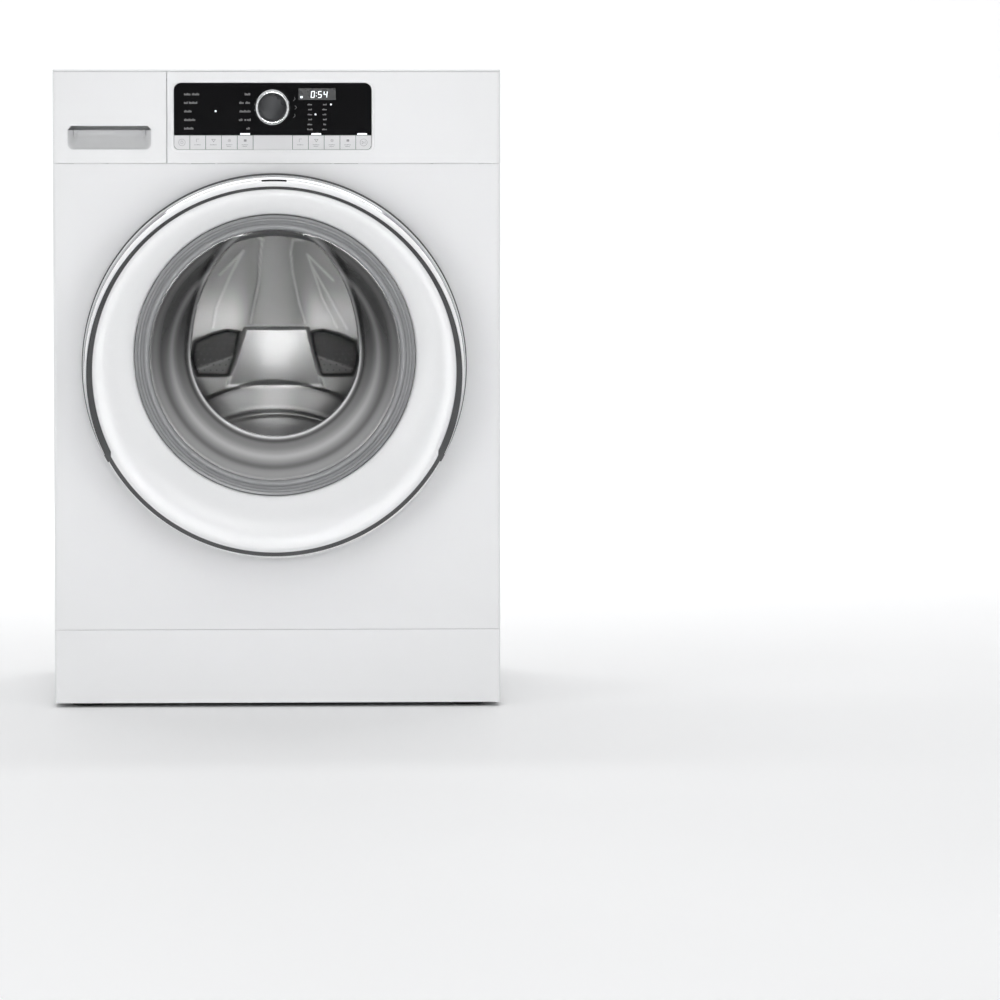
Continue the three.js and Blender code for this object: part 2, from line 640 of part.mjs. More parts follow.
// The belt runs round both pulleys along their outer tangents.
function beltOutline(clearance) {
  const big = pulley.radius + clearance;
  const little = motor.pulleyRadius + clearance;
  const lean = Math.asin((big - little) / (drumAxis.z - motor.z));
  const shape = new THREE.Shape();
  shape.absarc(drumAxis.x, drumAxis.z, big, -lean, Math.PI + lean, false);
  shape.absarc(motor.x, motor.z, little, Math.PI + lean, 2 * Math.PI - lean, false);
  return shape;
}

function driveBelt() {
  const loop = cut(pushed(beltOutline(3.6), pulley.frontY + 2, pulley.backY - 2, 14),
    pushed(beltOutline(1), pulley.frontY - 2, pulley.backY + 2, 14));
  return piece('drive_belt', loop, rubber);
}

function driveMotor() {
  const casing = disc(motor.radius, motor.frontY, motor.backY, motor.x, motor.z, 24);
  const lug = box(motor.x - 20, motor.x + 20, motor.frontY + 20, motor.backY - 70,
    motor.z + 40, drumAxis.z - 255);
  const tubRoom = disc(tub.radius + gap, 0, 300, drumAxis.x, drumAxis.z, 96);
  return piece('drive_motor', cut(join(casing, lug), tubRoom), zinc);
}

// A coil spring: a round wire along a helix that ends level at both hooks.
class Helix extends THREE.Curve {
  constructor(x, y, z0, z1, radius, turns) {
    super();
    Object.assign(this, { x, y, z0, z1, radius, turns });
  }

  getPoint(t, target = new THREE.Vector3()) {
    const angle = 2 * Math.PI * this.turns * t;
    const z = THREE.MathUtils.lerp(this.z0, this.z1, t);
    return target.set(this.x + this.radius * Math.cos(angle), this.y + this.radius * Math.sin(angle), z);
  }
}

function suspensionSpring(name, side) {
  const { x, y, earZ, hangerZ, coilRadius, wireRadius, turns } = suspension;
  const route = new Helix(side * x, y, earZ + 3, hangerZ - 3, coilRadius, turns);
  const wire = new THREE.Shape();
  wire.absarc(0, 0, wireRadius, 0, 2 * Math.PI, false);
  const geometry = new THREE.ExtrudeGeometry(wire, { extrudePath: route, steps: 7 * turns, curveSegments: 2 });
  return piece(name, toSolid(geometry), zinc);
}

function damperCylinder(name, side) {
  const bottom = footHeight + 3 + gap;
  const tube = post(damper.radius, bottom, damper.top, side * damper.x, damper.y, small);
  const bore = post(damper.boreRadius, bottom + 14, damper.top + 10, side * damper.x, damper.y, small);
  return piece(name, cut(tube, bore), darkPlastic);
}

function damperRod(name, side) {
  const x = side * damper.x;
  const { y, rodRadius, rodBottom, headZ } = damper;
  const rod = post(rodRadius, rodBottom, headZ + 26, x, y, small);
  const head = box(x - 13, x + 13, y - 12, y + 12, headZ, headZ + 64);
  const tubRoom = disc(tub.radius + gap, -100, 0, drumAxis.x, drumAxis.z, 96);
  return piece(name, cut(join(rod, head), tubRoom), zinc);
}

// ---- Water parts and power gland -----------------------------------------
function drainPump() {
  const { x, z, filterRadius, casingRadius, splitY, backY: rear } = pump;
  const filter = disc(filterRadius, returnY + 6, splitY, x, z, 20);
  const casing = disc(casingRadius, splitY - 0.5, rear, x, z, 20);
  const spout = box(x - 12, x + 12, splitY + 10, splitY + 34, z + 20, z + 80);
  const base = box(x - filterRadius, x + filterRadius, splitY - 50, rear - 10, footHeight + 3 + gap, z);
  return piece('drain_pump', join(filter, casing, spout, base), darkPlastic);
}

function inletValve() {
  const body = box(inlets[0] - 20, inlets[1] + 20, backY - 50, backY - 6, inletZ - 20, inletZ + 20);
  const threads = inlets.map((x) => ring(8, 13, backY - 30, rearLimitY, x, inletZ, small));
  const bores = inlets.map((x) => disc(8, backY - 30, rearLimitY + 1, x, inletZ, small));
  return piece('inlet_valve', join(cut(body, ...bores), ...threads), darkPlastic);
}

function cordGland() {
  const profile = [
    [0, backY - 12], [11.5, backY - 12], [11.5, backY + gap], [16, backY + gap], [16, backY + 3],
    [9, backY + 8], [4.5, backY + 8], [4.5, backY - 8], [0, backY - 8],
  ];
  return piece('cord_gland', turned(profile, gland.x, gland.z, small), darkPlastic);
}

// ---- Places worked out from the sizes above ------------------------------
const footPlaces = [
  [-foot.x, foot.frontY], [foot.x, foot.frontY], [-foot.x, foot.backY], [foot.x, foot.backY],
];
const footNames = ['foot_front_left', 'foot_front_right', 'foot_rear_left', 'foot_rear_right'];
const inlets = [-245, -185];
const inletZ = 790;
const gland = { x: 230, z: 790 };
const boardY = frontY + 20;
const encoderDepth = 5;
const keyOffsets = Array.from({ length: keyRow.perGroup }, (_, i) => i * keyRow.pitch);
const keyGroups = [display.left, display.right - keyRow.perGroup * keyRow.pitch];
const keyNames = ['key_power', 'key_option_1', 'key_option_2', 'key_option_3', 'key_option_4',
  'key_option_5', 'key_option_6', 'key_option_7', 'key_option_8', 'key_start'];

// ---- Assembly ------------------------------------------------------------
const washer = new THREE.Group();
washer.add(
  sidePanel('side_panel_left', -1),
  sidePanel('side_panel_right', 1),
  rearPanel(),
  rearCover(),
  frontPanel(),
  kickPlate(),
  topPanel(),
  baseTray(),
  controlFascia(),
  displayWindow(),
  controlBoard(),
  programKnob(),
  drawerFront(),
  drawerTray(),
  dispenserHousing(),
  doorOuterRing(),
  doorChromeTrim(),
  doorInnerFrame(),
  doorGlass(),
  hingeBracket(),
  latchHook(),
  doorLock(),
  doorGasket(),
  tubFront(),
  tubRear(),
  counterweightTop(),
  counterweightFront(),
  washDrum(),
  drumSpider(),
  bearingCartridge(),
  drumPulley(),
  motorPulley(),
  driveBelt(),
  driveMotor(),
  drainPump(),
  inletValve(),
  cordGland(),
);
footPlaces.forEach((place, i) => washer.add(levellingFoot(footNames[i], place)));
keyGroups.forEach((start, group) => keyOffsets.forEach((offset, i) => {
  washer.add(controlKey(keyNames[group * keyRow.perGroup + i], start + offset));
}));
[0, 1, 2].forEach((i) => washer.add(drumLifter(`drum_lifter_${i + 1}`, i * 120)));
[[-1, 'left'], [1, 'right']].forEach(([side, word]) => {
  washer.add(
    suspensionSpring(`suspension_spring_${word}`, side),
    damperCylinder(`damper_cylinder_${word}`, side),
    damperRod(`damper_rod_${word}`, side),
  );
});

export default washer;
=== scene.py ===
"""The looks of a front load washing machine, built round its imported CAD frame. +Z is up, the front faces -Y.

Pieces are drawn in millimetres. Blender, the camera and the lights work in metres."""
import json
from math import atan2, cos, degrees, exp, hypot, pi, radians, sin, sqrt, tau

import bmesh
import bpy
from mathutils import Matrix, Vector

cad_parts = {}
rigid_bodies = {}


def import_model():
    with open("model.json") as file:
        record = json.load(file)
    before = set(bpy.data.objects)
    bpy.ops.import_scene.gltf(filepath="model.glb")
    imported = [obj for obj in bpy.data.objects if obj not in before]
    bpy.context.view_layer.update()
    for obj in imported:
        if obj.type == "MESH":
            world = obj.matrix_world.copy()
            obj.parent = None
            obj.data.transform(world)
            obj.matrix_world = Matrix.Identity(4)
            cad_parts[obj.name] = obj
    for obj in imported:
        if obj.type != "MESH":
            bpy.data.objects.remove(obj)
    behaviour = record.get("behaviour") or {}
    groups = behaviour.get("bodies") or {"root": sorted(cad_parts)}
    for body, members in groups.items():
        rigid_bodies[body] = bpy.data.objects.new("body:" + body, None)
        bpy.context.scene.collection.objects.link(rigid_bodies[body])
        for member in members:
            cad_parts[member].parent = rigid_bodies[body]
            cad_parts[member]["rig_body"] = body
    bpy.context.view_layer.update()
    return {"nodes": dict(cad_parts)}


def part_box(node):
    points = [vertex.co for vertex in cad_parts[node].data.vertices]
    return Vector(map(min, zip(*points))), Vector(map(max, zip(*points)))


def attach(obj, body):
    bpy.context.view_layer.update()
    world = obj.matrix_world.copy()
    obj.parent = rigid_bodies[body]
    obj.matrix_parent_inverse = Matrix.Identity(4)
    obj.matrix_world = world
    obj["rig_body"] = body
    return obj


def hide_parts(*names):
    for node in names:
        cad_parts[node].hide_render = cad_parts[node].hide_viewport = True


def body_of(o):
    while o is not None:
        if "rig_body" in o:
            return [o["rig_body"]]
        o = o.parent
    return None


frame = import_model()
MM = 0.001


# ---- Sizes read from the frame ---------------------------------------------
def span(node):
    """The node's box as ((x0, x1), (y0, y1), (z0, z1)), in millimetres like every length of a piece."""
    low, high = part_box(node)
    return tuple((a / MM, b / MM) for a, b in zip(low, high))


def box_ends(node):
    """The node's lowest and highest corner."""
    return [Vector(corner) for corner in zip(*span(node))]


def middle(pair):
    return (pair[0] + pair[1]) / 2


PANEL = span("front_panel")
FASCIA = span("control_fascia")
DRAWER = span("drawer_front")
WORKTOP = span("top_panel")
WINDOW = span("display_window")
RING = span("door_outer_ring")
TRIM = span("door_chrome_trim")
FRAME = span("door_inner_frame")
GLASS = span("door_glass")
DRUM = span("wash_drum")
KNOB = span("program_knob")
REAR = span("rear_panel")

LEFT, RIGHT = PANEL[0]
FRONT = PANEL[1][0]
DOOR_X = middle(RING[0])
DOOR_Z = middle(RING[2])
DOOR_R = (RING[0][1] - RING[0][0]) / 2
DOOR_FRONT = TRIM[1][0]
GLASS_X = middle(GLASS[0])
GLASS_Z = middle(GLASS[2])
WINDOW_R = 186.5
TRIM_Z = DOOR_Z - 11.4
TRIM_R = 249.5
WELL_Z = DOOR_Z - 7.3
WELL_R = 241.7
TRIM_END = radians(27.5)
HINGE = (-254, FRONT - 13)
LATCH_X = 212
OPENING_R = 175
INLET_X = (-245, -185)


# ---- Camera, light and floor -----------------------------------------------
def aim(obj, target):
    direction = Vector(target) - obj.location
    obj.rotation_euler = direction.to_track_quat("-Z", "Y").to_euler()


def make_camera():
    """Far ahead of the machine, a little below its top, turned to set it left in the frame."""
    distance = 8.0
    seen_width = 1.337
    camera_height = 0.78
    look_height = 0.2769
    data = bpy.data.cameras.new("camera")
    camera = bpy.data.objects.new("camera", data)
    bpy.context.scene.collection.objects.link(camera)
    camera.location = (GLASS_X * MM, FRONT * MM - distance, camera_height)
    target = ((RIGHT - 0.4) * MM, FRONT * MM, look_height)
    aim(camera, target)
    data.sensor_width = 36
    data.lens = 36 * (Vector(target) - camera.location).length / seen_width
    data.clip_end = 60
    bpy.context.scene.camera = camera


def area_light(name, place, target, size, power):
    data = bpy.data.lights.new(name, "AREA")
    data.shape = "RECTANGLE"
    data.size, data.size_y = size
    data.energy = power
    light = bpy.data.objects.new(name, data)
    light.location = place
    bpy.context.scene.collection.objects.link(light)
    aim(light, target)
    return light


def make_lights():
    aim_at = (0, 0, 0.45)
    area_light("key_left", (-3.2, -3.6, 1.3), aim_at, (2.2, 2.5), 33)
    area_light("key_right", (3.4, -3.4, 1.3), aim_at, (2.2, 2.5), 26)
    area_light("front_fill", (0.5, -6.2, 1.75), (0, 0, 0.1), (1.2, 0.9), 24)
    area_light("overhead", (0, -2.7, 3.8), (0, -2.3, 0), (5.0, 3.2), 50)
    area_light("backdrop_wash", (0, 3.0, 4.5), (0, 5.4, 0.6), (6.0, 2.0), 210)
    drum_light = area_light("drum_light", (0, -6.0, 0.27), (0, 0, 0.48), (0.5, 0.5), 0.21)
    drum_light.data.spread = radians(16)


def make_world():
    """A pale surround that falls away to grey behind the camera, so that gloss black stays dark."""
    world = bpy.data.worlds.new("studio")
    bpy.context.scene.world = world
    world.use_nodes = True
    nodes, links = world.node_tree.nodes, world.node_tree.links
    coords = nodes.new("ShaderNodeTexCoord")
    split = nodes.new("ShaderNodeSeparateXYZ")
    ramp = nodes.new("ShaderNodeValToRGB")
    ramp.color_ramp.elements[0].color = (0.26, 0.26, 0.27, 1)
    ramp.color_ramp.elements[1].color = (0.80, 0.81, 0.82, 1)
    links.new(coords.outputs["Generated"], split.inputs["Vector"])
    links.new(remap(world, split.outputs["Y"], 0.0, 1.0, -0.95, 0.1), ramp.inputs["Fac"])
    links.new(ramp.outputs["Color"], nodes["Background"].inputs["Color"])
    nodes["Background"].inputs["Strength"].default_value = 0.72


def make_floor(material):
    """One sheet: a flat floor that curves up into a backdrop behind the machine."""
    half, near, bend, rise = 14.0, -14.0, 5.0, 2.5
    line = [(near, 0.0), (bend, 0.0)]
    line += [(bend + rise * sin(a), rise - rise * cos(a)) for a in (pi / 2 * i / 12 for i in range(1, 13))]
    line.append((bend + rise, 9.0))
    verts = [(x, y, z) for y, z in line for x in (-half, half)]
    faces = [(2 * i, 2 * i + 1, 2 * i + 3, 2 * i + 2) for i in range(len(line) - 1)]
    mesh = bpy.data.meshes.new("floor")
    mesh.from_pydata(verts, [], faces)
    mesh.shade_smooth()
    mesh.materials.append(material)
    floor = bpy.data.objects.new("floor", mesh)
    bpy.context.scene.collection.objects.link(floor)


# ---- Materials ---------------------------------------------------------------
def principled(name, color, roughness, metallic=0.0, **uniform):
    """A material with one Principled shader. uniform sets other sockets, named with underscores."""
    material = bpy.data.materials.new(name)
    material.use_nodes = True
    shader = material.node_tree.nodes["Principled BSDF"]
    shader.inputs["Base Color"].default_value = (*color, 1)
    shader.inputs["Roughness"].default_value = roughness
    shader.inputs["Metallic"].default_value = metallic
    for socket, value in uniform.items():
        shader.inputs[socket.replace("_", " ")].default_value = value
    return material


def noise(material, scale, detail=3.0, stretch=(1, 1, 1)):
    """The output of a noise texture in the piece's own metres; scale is in features per metre."""
    nodes, links = material.node_tree.nodes, material.node_tree.links
    coords = nodes.new("ShaderNodeTexCoord")
    mapping = nodes.new("ShaderNodeMapping")
    mapping.inputs["Scale"].default_value = stretch
    texture = nodes.new("ShaderNodeTexNoise")
    texture.inputs["Scale"].default_value = scale
    texture.inputs["Detail"].default_value = detail
    links.new(coords.outputs["Object"], mapping.inputs["Vector"])
    links.new(mapping.outputs["Vector"], texture.inputs["Vector"])
    return texture.outputs["Fac"]


def tint(material, value, dark, light):
    """Colours the material between two shades by a 0 to 1 value."""
    nodes, links = material.node_tree.nodes, material.node_tree.links
    ramp = nodes.new("ShaderNodeValToRGB")
    ramp.color_ramp.elements[0].position = 0.3
    ramp.color_ramp.elements[0].color = (*dark, 1)
    ramp.color_ramp.elements[1].position = 0.7
    ramp.color_ramp.elements[1].color = (*light, 1)
    links.new(value, ramp.inputs["Fac"])
    drive(material, ramp.outputs["Color"], "Base Color")


def remap(holder, value, low, high, start=0.0, end=1.0):
    """The value's range from start to end, carried over to low to high."""
    nodes, links = holder.node_tree.nodes, holder.node_tree.links
    spread = nodes.new("ShaderNodeMapRange")
    spread.inputs["From Min"].default_value = start
    spread.inputs["From Max"].default_value = end
    spread.inputs["To Min"].default_value = low
    spread.inputs["To Max"].default_value = high
    links.new(value, spread.inputs["Value"])
    return spread.outputs["Result"]


def drive(material, value, socket):
    """Feeds a value to one of the shader's sockets."""
    links = material.node_tree.links
    links.new(value, material.node_tree.nodes["Principled BSDF"].inputs[socket])


def vary_roughness(material, value, low, high):
    drive(material, remap(material, value, low, high, 0.3, 0.7), "Roughness")


def vertex_number(material, word):
    """A number kept on the piece's vertices by set_tone."""
    attribute = material.node_tree.nodes.new("ShaderNodeAttribute")
    attribute.attribute_name = word
    return attribute.outputs["Fac"]


def grey_color(material, value):
    """Paints the material the grey of a value."""
    color = material.node_tree.nodes.new("ShaderNodeCombineColor")
    for channel in ("Red", "Green", "Blue"):
        material.node_tree.links.new(value, color.inputs[channel])
    drive(material, color.outputs["Color"], "Base Color")


def emboss(material, value, strength, height):
    nodes, links = material.node_tree.nodes, material.node_tree.links
    bump = nodes.new("ShaderNodeBump")
    bump.inputs["Strength"].default_value = strength
    bump.inputs["Distance"].default_value = height
    links.new(value, bump.inputs["Height"])
    drive(material, bump.outputs["Normal"], "Normal")


def shade(color, factor):
    return tuple(min(1.0, c * factor) for c in color)


def finish(name, color, roughness, metallic=0.0, spread=0.04, blotch=9, grain=900, grain_height=0.00003,
           strength=0.15, stretch=(1, 1, 1), **uniform):
    """A surface with soft colour blotches, uneven gloss and a fine grain."""
    material = principled(name, color, roughness, metallic, **uniform)
    tint(material, noise(material, blotch), shade(color, 1 - spread), shade(color, 1 + spread))
    uneven = 1.5 * spread * roughness
    vary_roughness(material, noise(material, blotch * 4, 3), roughness - uneven, roughness + uneven)
    emboss(material, noise(material, grain, 2, stretch), strength, grain_height)
    return material


def window_glass():
    """Moulded glass: clear over the end face and more opaque over the wall; its grey is the painted light kept
    on the vertices.
    """
    material = principled("window_glass", (0.02, 0.02, 0.02), 0.04, IOR=1.5)
    # Painted light: the grey carries painted highlight rings and painted shade.
    grey_color(material, vertex_number(material, "tone"))
    drive(material, remap(material, vertex_number(material, "cover"), 0.04, 0.82), "Alpha")
    emboss(material, noise(material, 3, 1), 0.01, 0.0003)
    return material


def pressed_steel():
    """The drum's pressed back: stainless whose brightness follows the painted highlights and shade kept on its
    vertices.
    """
    material = principled("pressed_steel", (0.5, 0.5, 0.5), 0.3, 0.35)
    grain = noise(material, 700, 3, (0.03, 1, 1))
    bright = material.node_tree.nodes.new("ShaderNodeMath")
    bright.operation = "MULTIPLY"
    links = material.node_tree.links
    # Painted light: the kept tone brightens the highlights and darkens the shade.
    links.new(vertex_number(material, "tone"), bright.inputs[0])
    links.new(remap(material, grain, 0.97, 1.03), bright.inputs[1])
    grey_color(material, bright.outputs["Value"])
    vary_roughness(material, noise(material, 15, 2), 0.29, 0.33)
    emboss(material, grain, 0.01, 0.00003)
    return material


FINISH = {
    "floor": finish("floor_pale", (0.96, 0.96, 0.96), 0.6, blotch=1, spread=0.01, grain=60),
    "enamel": finish("white_enamel", (0.84, 0.845, 0.85), 0.3, spread=0.003, blotch=14, grain=260,
                     strength=0.012, Coat_Weight=0.2, Coat_Roughness=0.1),
    "white": finish("white_plastic", (0.85, 0.855, 0.86), 0.24, spread=0.003, blotch=18, grain=500,
                    strength=0.01),
    "worktop": finish("white_laminate", (0.76, 0.765, 0.77), 0.38, spread=0.008, grain=1400, strength=0.06),
    "key": finish("key_plastic", (0.74, 0.745, 0.75), 0.35, spread=0.008, grain=1200, strength=0.06),
    "black": finish("piano_black", (0.004, 0.004, 0.0045), 0.06, spread=0.1, grain=30, strength=0.01,
                    Specular_IOR_Level=0.22),
    "chrome": finish("chrome_plate", (0.90, 0.905, 0.91), 0.06, 1.0, spread=0.01, grain=40, strength=0.02),
    "knob_face": finish("knob_face", (0.035, 0.036, 0.038), 0.28, 0.6, spread=0.08, grain=2500,
                        strength=0.06),
    "bezel": finish("grey_gloss", (0.27, 0.275, 0.28), 0.16, spread=0.04, grain=600, strength=0.04),
    # Dark grey, partly painted shade for the groove behind the trim.
    "carrier": finish("dark_carrier_and_groove_shade", (0.06, 0.061, 0.063), 0.4, spread=0.08, grain=1500, strength=0.12),
    "glass": window_glass(),
    "pressed": pressed_steel(),
    # Painted reflection: a whiter, half-metal copy of the chrome for the band that shows the lights'
    # reflection.
    "satin_painted_reflection": finish("satin_chrome_painted_reflection", (0.93, 0.935, 0.94), 0.32, 0.35, spread=0.004, blotch=60, grain=900,
                    strength=0.02),
    "gasket": finish("gasket_rubber", (0.085, 0.087, 0.09), 0.42, spread=0.1, grain=1600, strength=0.2,
                     grain_height=0.00006),
    "steel": finish("drum_stainless", (0.66, 0.665, 0.67), 0.34, 0.7, spread=0.05, blotch=5, grain=900,
                    strength=0.05, stretch=(1, 0.05, 1)),
    "zinc": finish("zinc_plate", (0.48, 0.49, 0.50), 0.38, 1.0, spread=0.12, blotch=60, grain=900),
    "iron": finish("cast_iron", (0.10, 0.10, 0.098), 0.75, 0.3, spread=0.25, blotch=60, grain=350,
                   strength=0.7, grain_height=0.0004),
    "alloy": finish("cast_alloy", (0.45, 0.455, 0.46), 0.42, 0.9, spread=0.08, blotch=30, grain=700,
                    strength=0.3),
    "tub": finish("tub_plastic", (0.52, 0.53, 0.51), 0.45, spread=0.04, grain=900, strength=0.2),
    "tray": finish("tray_plastic", (0.50, 0.52, 0.53), 0.32, spread=0.03, grain=900, strength=0.08),
    "dark": finish("dark_plastic", (0.022, 0.022, 0.024), 0.42, spread=0.15, grain=1200, strength=0.2),
    # Painted shade: greyer copies of the white plastic for the grip's dish and its deep pocket.
    "scoop_painted_shade": finish("grip_plastic_painted_shade", (0.66, 0.665, 0.67), 0.3, spread=0.02, blotch=30, grain=500,
                    strength=0.04),
    "pocket": finish("pocket_plastic_painted_shade", (0.48, 0.485, 0.49), 0.4, spread=0.05, grain=500, strength=0.06),
    # Painted shade: black that stands for the shade in the trim's slit.
    "slit_shade": finish("slit_painted_shade", (0.008, 0.008, 0.008), 0.6, spread=0.1, grain=900, strength=0.02),
    "screen": finish("screen_grey", (0.020, 0.021, 0.022), 0.3, spread=0.1, grain=900, strength=0.02),
    "print": finish("printed_marks", (0.24, 0.24, 0.24), 0.5, spread=0.1, grain=900, strength=0.02),
    "key_print": finish("key_marks", (0.30, 0.30, 0.31), 0.5, spread=0.1, grain=900, strength=0.02),
    "glow": finish("lit_marks", (0.9, 0.92, 0.95), 0.5, spread=0.02, Emission_Color=(0.9, 0.95, 1.0, 1.0),
                   Emission_Strength=0.9),
    "cap": finish("softener_cap", (0.10, 0.22, 0.42), 0.3, spread=0.05, grain=900, strength=0.08),
    "board": finish("circuit_board", (0.02, 0.11, 0.05), 0.4, spread=0.2, blotch=140, grain=500),
    "belt": finish("belt_rubber", (0.02, 0.02, 0.02), 0.6, spread=0.2, grain=900, strength=0.4),
}


def metres(verts):
    return [tuple(value * MM for value in v) for v in verts]


def piece(name, verts, faces, material, node, sharp=38, edge=0.0):
    """A mesh piece that stands for a CAD node and rides on its body. edge is its edge radius (mm)."""
    mesh = bpy.data.meshes.new(name)
    mesh.from_pydata(metres(verts), [], faces)
    work = bmesh.new()
    work.from_mesh(mesh)
    bmesh.ops.remove_doubles(work, verts=work.verts, dist=0.000005)
    bmesh.ops.recalc_face_normals(work, faces=work.faces)
    work.to_mesh(mesh)
    work.free()
    mesh.materials.append(FINISH[material])
    obj = bpy.data.objects.new(name, mesh)
    bpy.context.scene.collection.objects.link(obj)
    smooth(obj, sharp, edge)
    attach(obj, body_of(frame["nodes"][node])[0])
    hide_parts(node)
    return obj


def smooth(obj, sharp, edge):
    obj.data.shade_smooth()
    if edge:
        bevel = obj.modifiers.new("edges", "BEVEL")
        bevel.width = edge * MM
        bevel.segments = 3
        bevel.limit_method = "ANGLE"
        bevel.angle_limit = radians(sharp)
        bevel.harden_normals = True
    obj.data.set_sharp_from_angle(angle=radians(sharp))
    if not edge:
        flat = obj.modifiers.new("even_faces", "WEIGHTED_NORMAL")
        flat.keep_sharp = True


def soften(points, reach, steps=4):
    """A closed outline with every corner rounded. reach is how far along each side the curve starts."""
    result = []
    count = len(points)
    for i, corner in enumerate(points):
        here = Vector(corner)
        before = Vector(points[i - 1]) - here
        after = Vector(points[(i + 1) % count]) - here
        start = here + before.normalized() * min(reach, before.length * 0.45)
        end = here + after.normalized() * min(reach, after.length * 0.45)
        for k in range(steps + 1):
            t = k / steps
            result.append(tuple(start * (1 - t) ** 2 + here * 2 * t * (1 - t) + end * t ** 2))
    return result


def grid_faces(rows, columns, wrap_rows, wrap_columns):
    """Quads over a rows by columns grid of vertices, joined at either edge if asked."""
    faces = []
    for i in range(rows if wrap_rows else rows - 1):
        for j in range(columns if wrap_columns else columns - 1):
            a, b = i * columns, (i + 1) % rows * columns
            k = (j + 1) % columns
            faces.append((a + j, a + k, b + k, b + j))
    return faces


PLANES = {
    "front": lambda a, b, depth: (a, depth, b),
    "top": lambda a, b, depth: (a, b, depth),
}


def end_caps(rows, columns):
    """The two faces that close a grid of rings wrapped round its columns."""
    first = tuple(range(columns))
    last = tuple((rows - 1) * columns + k for k in reversed(range(columns)))
    return [first, last]


def revolve(profile, centre, steps=192, closed=True, plane="front"):
    """Verts and faces of [radius, depth] points turned about the line through centre, square to the plane."""
    a, b = centre
    place = PLANES[plane]
    turns = [(cos(tau * i / steps), sin(tau * i / steps)) for i in range(steps)]
    verts = [place(a + r * u, b + r * v, depth) for u, v in turns for r, depth in profile]
    return verts, grid_faces(steps, len(profile), True, closed)


def disc(centre, radius, near, far, steps):
    """A short solid cylinder along Y."""
    return revolve([(0.0, near), (radius, near), (radius, far), (0.0, far)], centre, steps, False)


def arc(x, z, radius, start, end, steps):
    """Points round a centre from one angle to another, in degrees."""
    turns = [radians(start + (end - start) * k / steps) for k in range(steps + 1)]
    return [(x + radius * cos(turn), z + radius * sin(turn)) for turn in turns]


def box_outline(x0, x1, z0, z1, radius=0.0, steps=6):
    """A closed rectangle, its corners rounded to a radius."""
    if not radius:
        return [(x0, z0), (x1, z0), (x1, z1), (x0, z1)]
    points = arc(x1 - radius, z0 + radius, radius, -90, 0, steps)
    points += arc(x1 - radius, z1 - radius, radius, 0, 90, steps)
    points += arc(x0 + radius, z1 - radius, radius, 90, 180, steps)
    points += arc(x0 + radius, z0 + radius, radius, 180, 270, steps)
    return points


def circle_outline(x, z, radius, steps=96):
    return arc(x, z, radius, 0, 360, steps)[:-1]


def slab(loops, plane, near, far, edge=0.4, rounding=2):
    """Verts and faces of a flat plate with holes: the first loop is its outline, the rest are cut out."""
    curve = bpy.data.curves.new("slab", "CURVE")
    curve.dimensions = "2D"
    curve.fill_mode = "BOTH"
    curve.extrude = ((far - near) / 2 - edge) * MM
    curve.bevel_depth = edge * MM
    curve.bevel_resolution = rounding
    curve.offset = -edge * MM
    for loop in loops:
        spline = curve.splines.new("POLY")
        spline.points.add(len(loop) - 1)
        for point, (a, b) in zip(spline.points, loop):
            point.co = (a * MM, b * MM, 0, 1)
        spline.use_cyclic_u = True
    holder = bpy.data.objects.new("slab", curve)
    mesh = holder.to_mesh()
    place = PLANES[plane]
    centre = (near + far) / 2
    verts = [place(v.co.x / MM, v.co.y / MM, centre + v.co.z / MM) for v in mesh.vertices]
    faces = [tuple(p.vertices) for p in mesh.polygons]
    holder.to_mesh_clear()
    bpy.data.objects.remove(holder)
    bpy.data.curves.remove(curve)
    return verts, faces


def merge(*parts):
    """Several (verts, faces) as one."""
    verts, faces = [], []
    for some_verts, some_faces in parts:
        shift = len(verts)
        verts.extend(some_verts)
        faces.extend(tuple(i + shift for i in face) for face in some_faces)
    return verts, faces


def block(x0, x1, y0, y1, z0, z1):
    verts = [(x, y, z) for x in (x0, x1) for y in (y0, y1) for z in (z0, z1)]
    faces = [(0, 1, 3, 2), (4, 6, 7, 5), (0, 4, 5, 1), (2, 3, 7, 6), (0, 2, 6, 4), (1, 5, 7, 3)]
    return verts, faces


def tube(x, y, z0, z1, radius, steps=24, edge=0.5):
    """An upright round bar along Z with softened ends."""
    half = [(0, z0), (radius - edge, z0), (radius, z0 + edge)]
    profile = half + [(r, z0 + z1 - z) for r, z in reversed(half)]
    return revolve(profile, (x, y), steps, False, "top")


def carve(obj, *cutters):
    """Cuts closed (verts, faces) shapes out of a piece."""
    tools = []
    for verts, faces in cutters:
        mesh = bpy.data.meshes.new("cutter")
        mesh.from_pydata(metres(verts), [], faces)
        tool = bpy.data.objects.new("cutter", mesh)
        bpy.context.scene.collection.objects.link(tool)
        cut = obj.modifiers.new("cut", "BOOLEAN")
        cut.operation = "DIFFERENCE"
        cut.object = tool
        tools.append(tool)
    bpy.context.view_layer.update()
    depsgraph = bpy.context.evaluated_depsgraph_get()
    result = bpy.data.meshes.new_from_object(obj.evaluated_get(depsgraph))
    obj.modifiers.clear()
    obj.data = result
    for tool in tools:
        bpy.data.objects.remove(tool)


def smooth_min(a, b, reach):
    h = max(0.0, min(1.0, 0.5 + 0.5 * (b - a) / reach))
    return b + (a - b) * h - reach * h * (1 - h)


def bump(distance, width):
    """One at no distance, falling away over the width."""
    return exp(-(distance / width) ** 2)


def ease(value):
    """0 to 1 with a soft start and end."""
    t = max(0.0, min(1.0, value))
    return t * t * (3 - 2 * t)


# ---- Door --------------------------------------------------------------------
STEPS = 288
RIM_REAR = span("door_outer_ring")[1][1]
CARRIER_FRONT = DOOR_FRONT + 11.5
LINE_WIDTH = 7.5


def on_circle(angle, radius, circle_z):
    """Distance from the door's centre to a circle centred straight above or below it, at this angle."""
    rise = circle_z - DOOR_Z
    return rise * sin(angle) + sqrt(radius ** 2 - (rise * cos(angle)) ** 2)


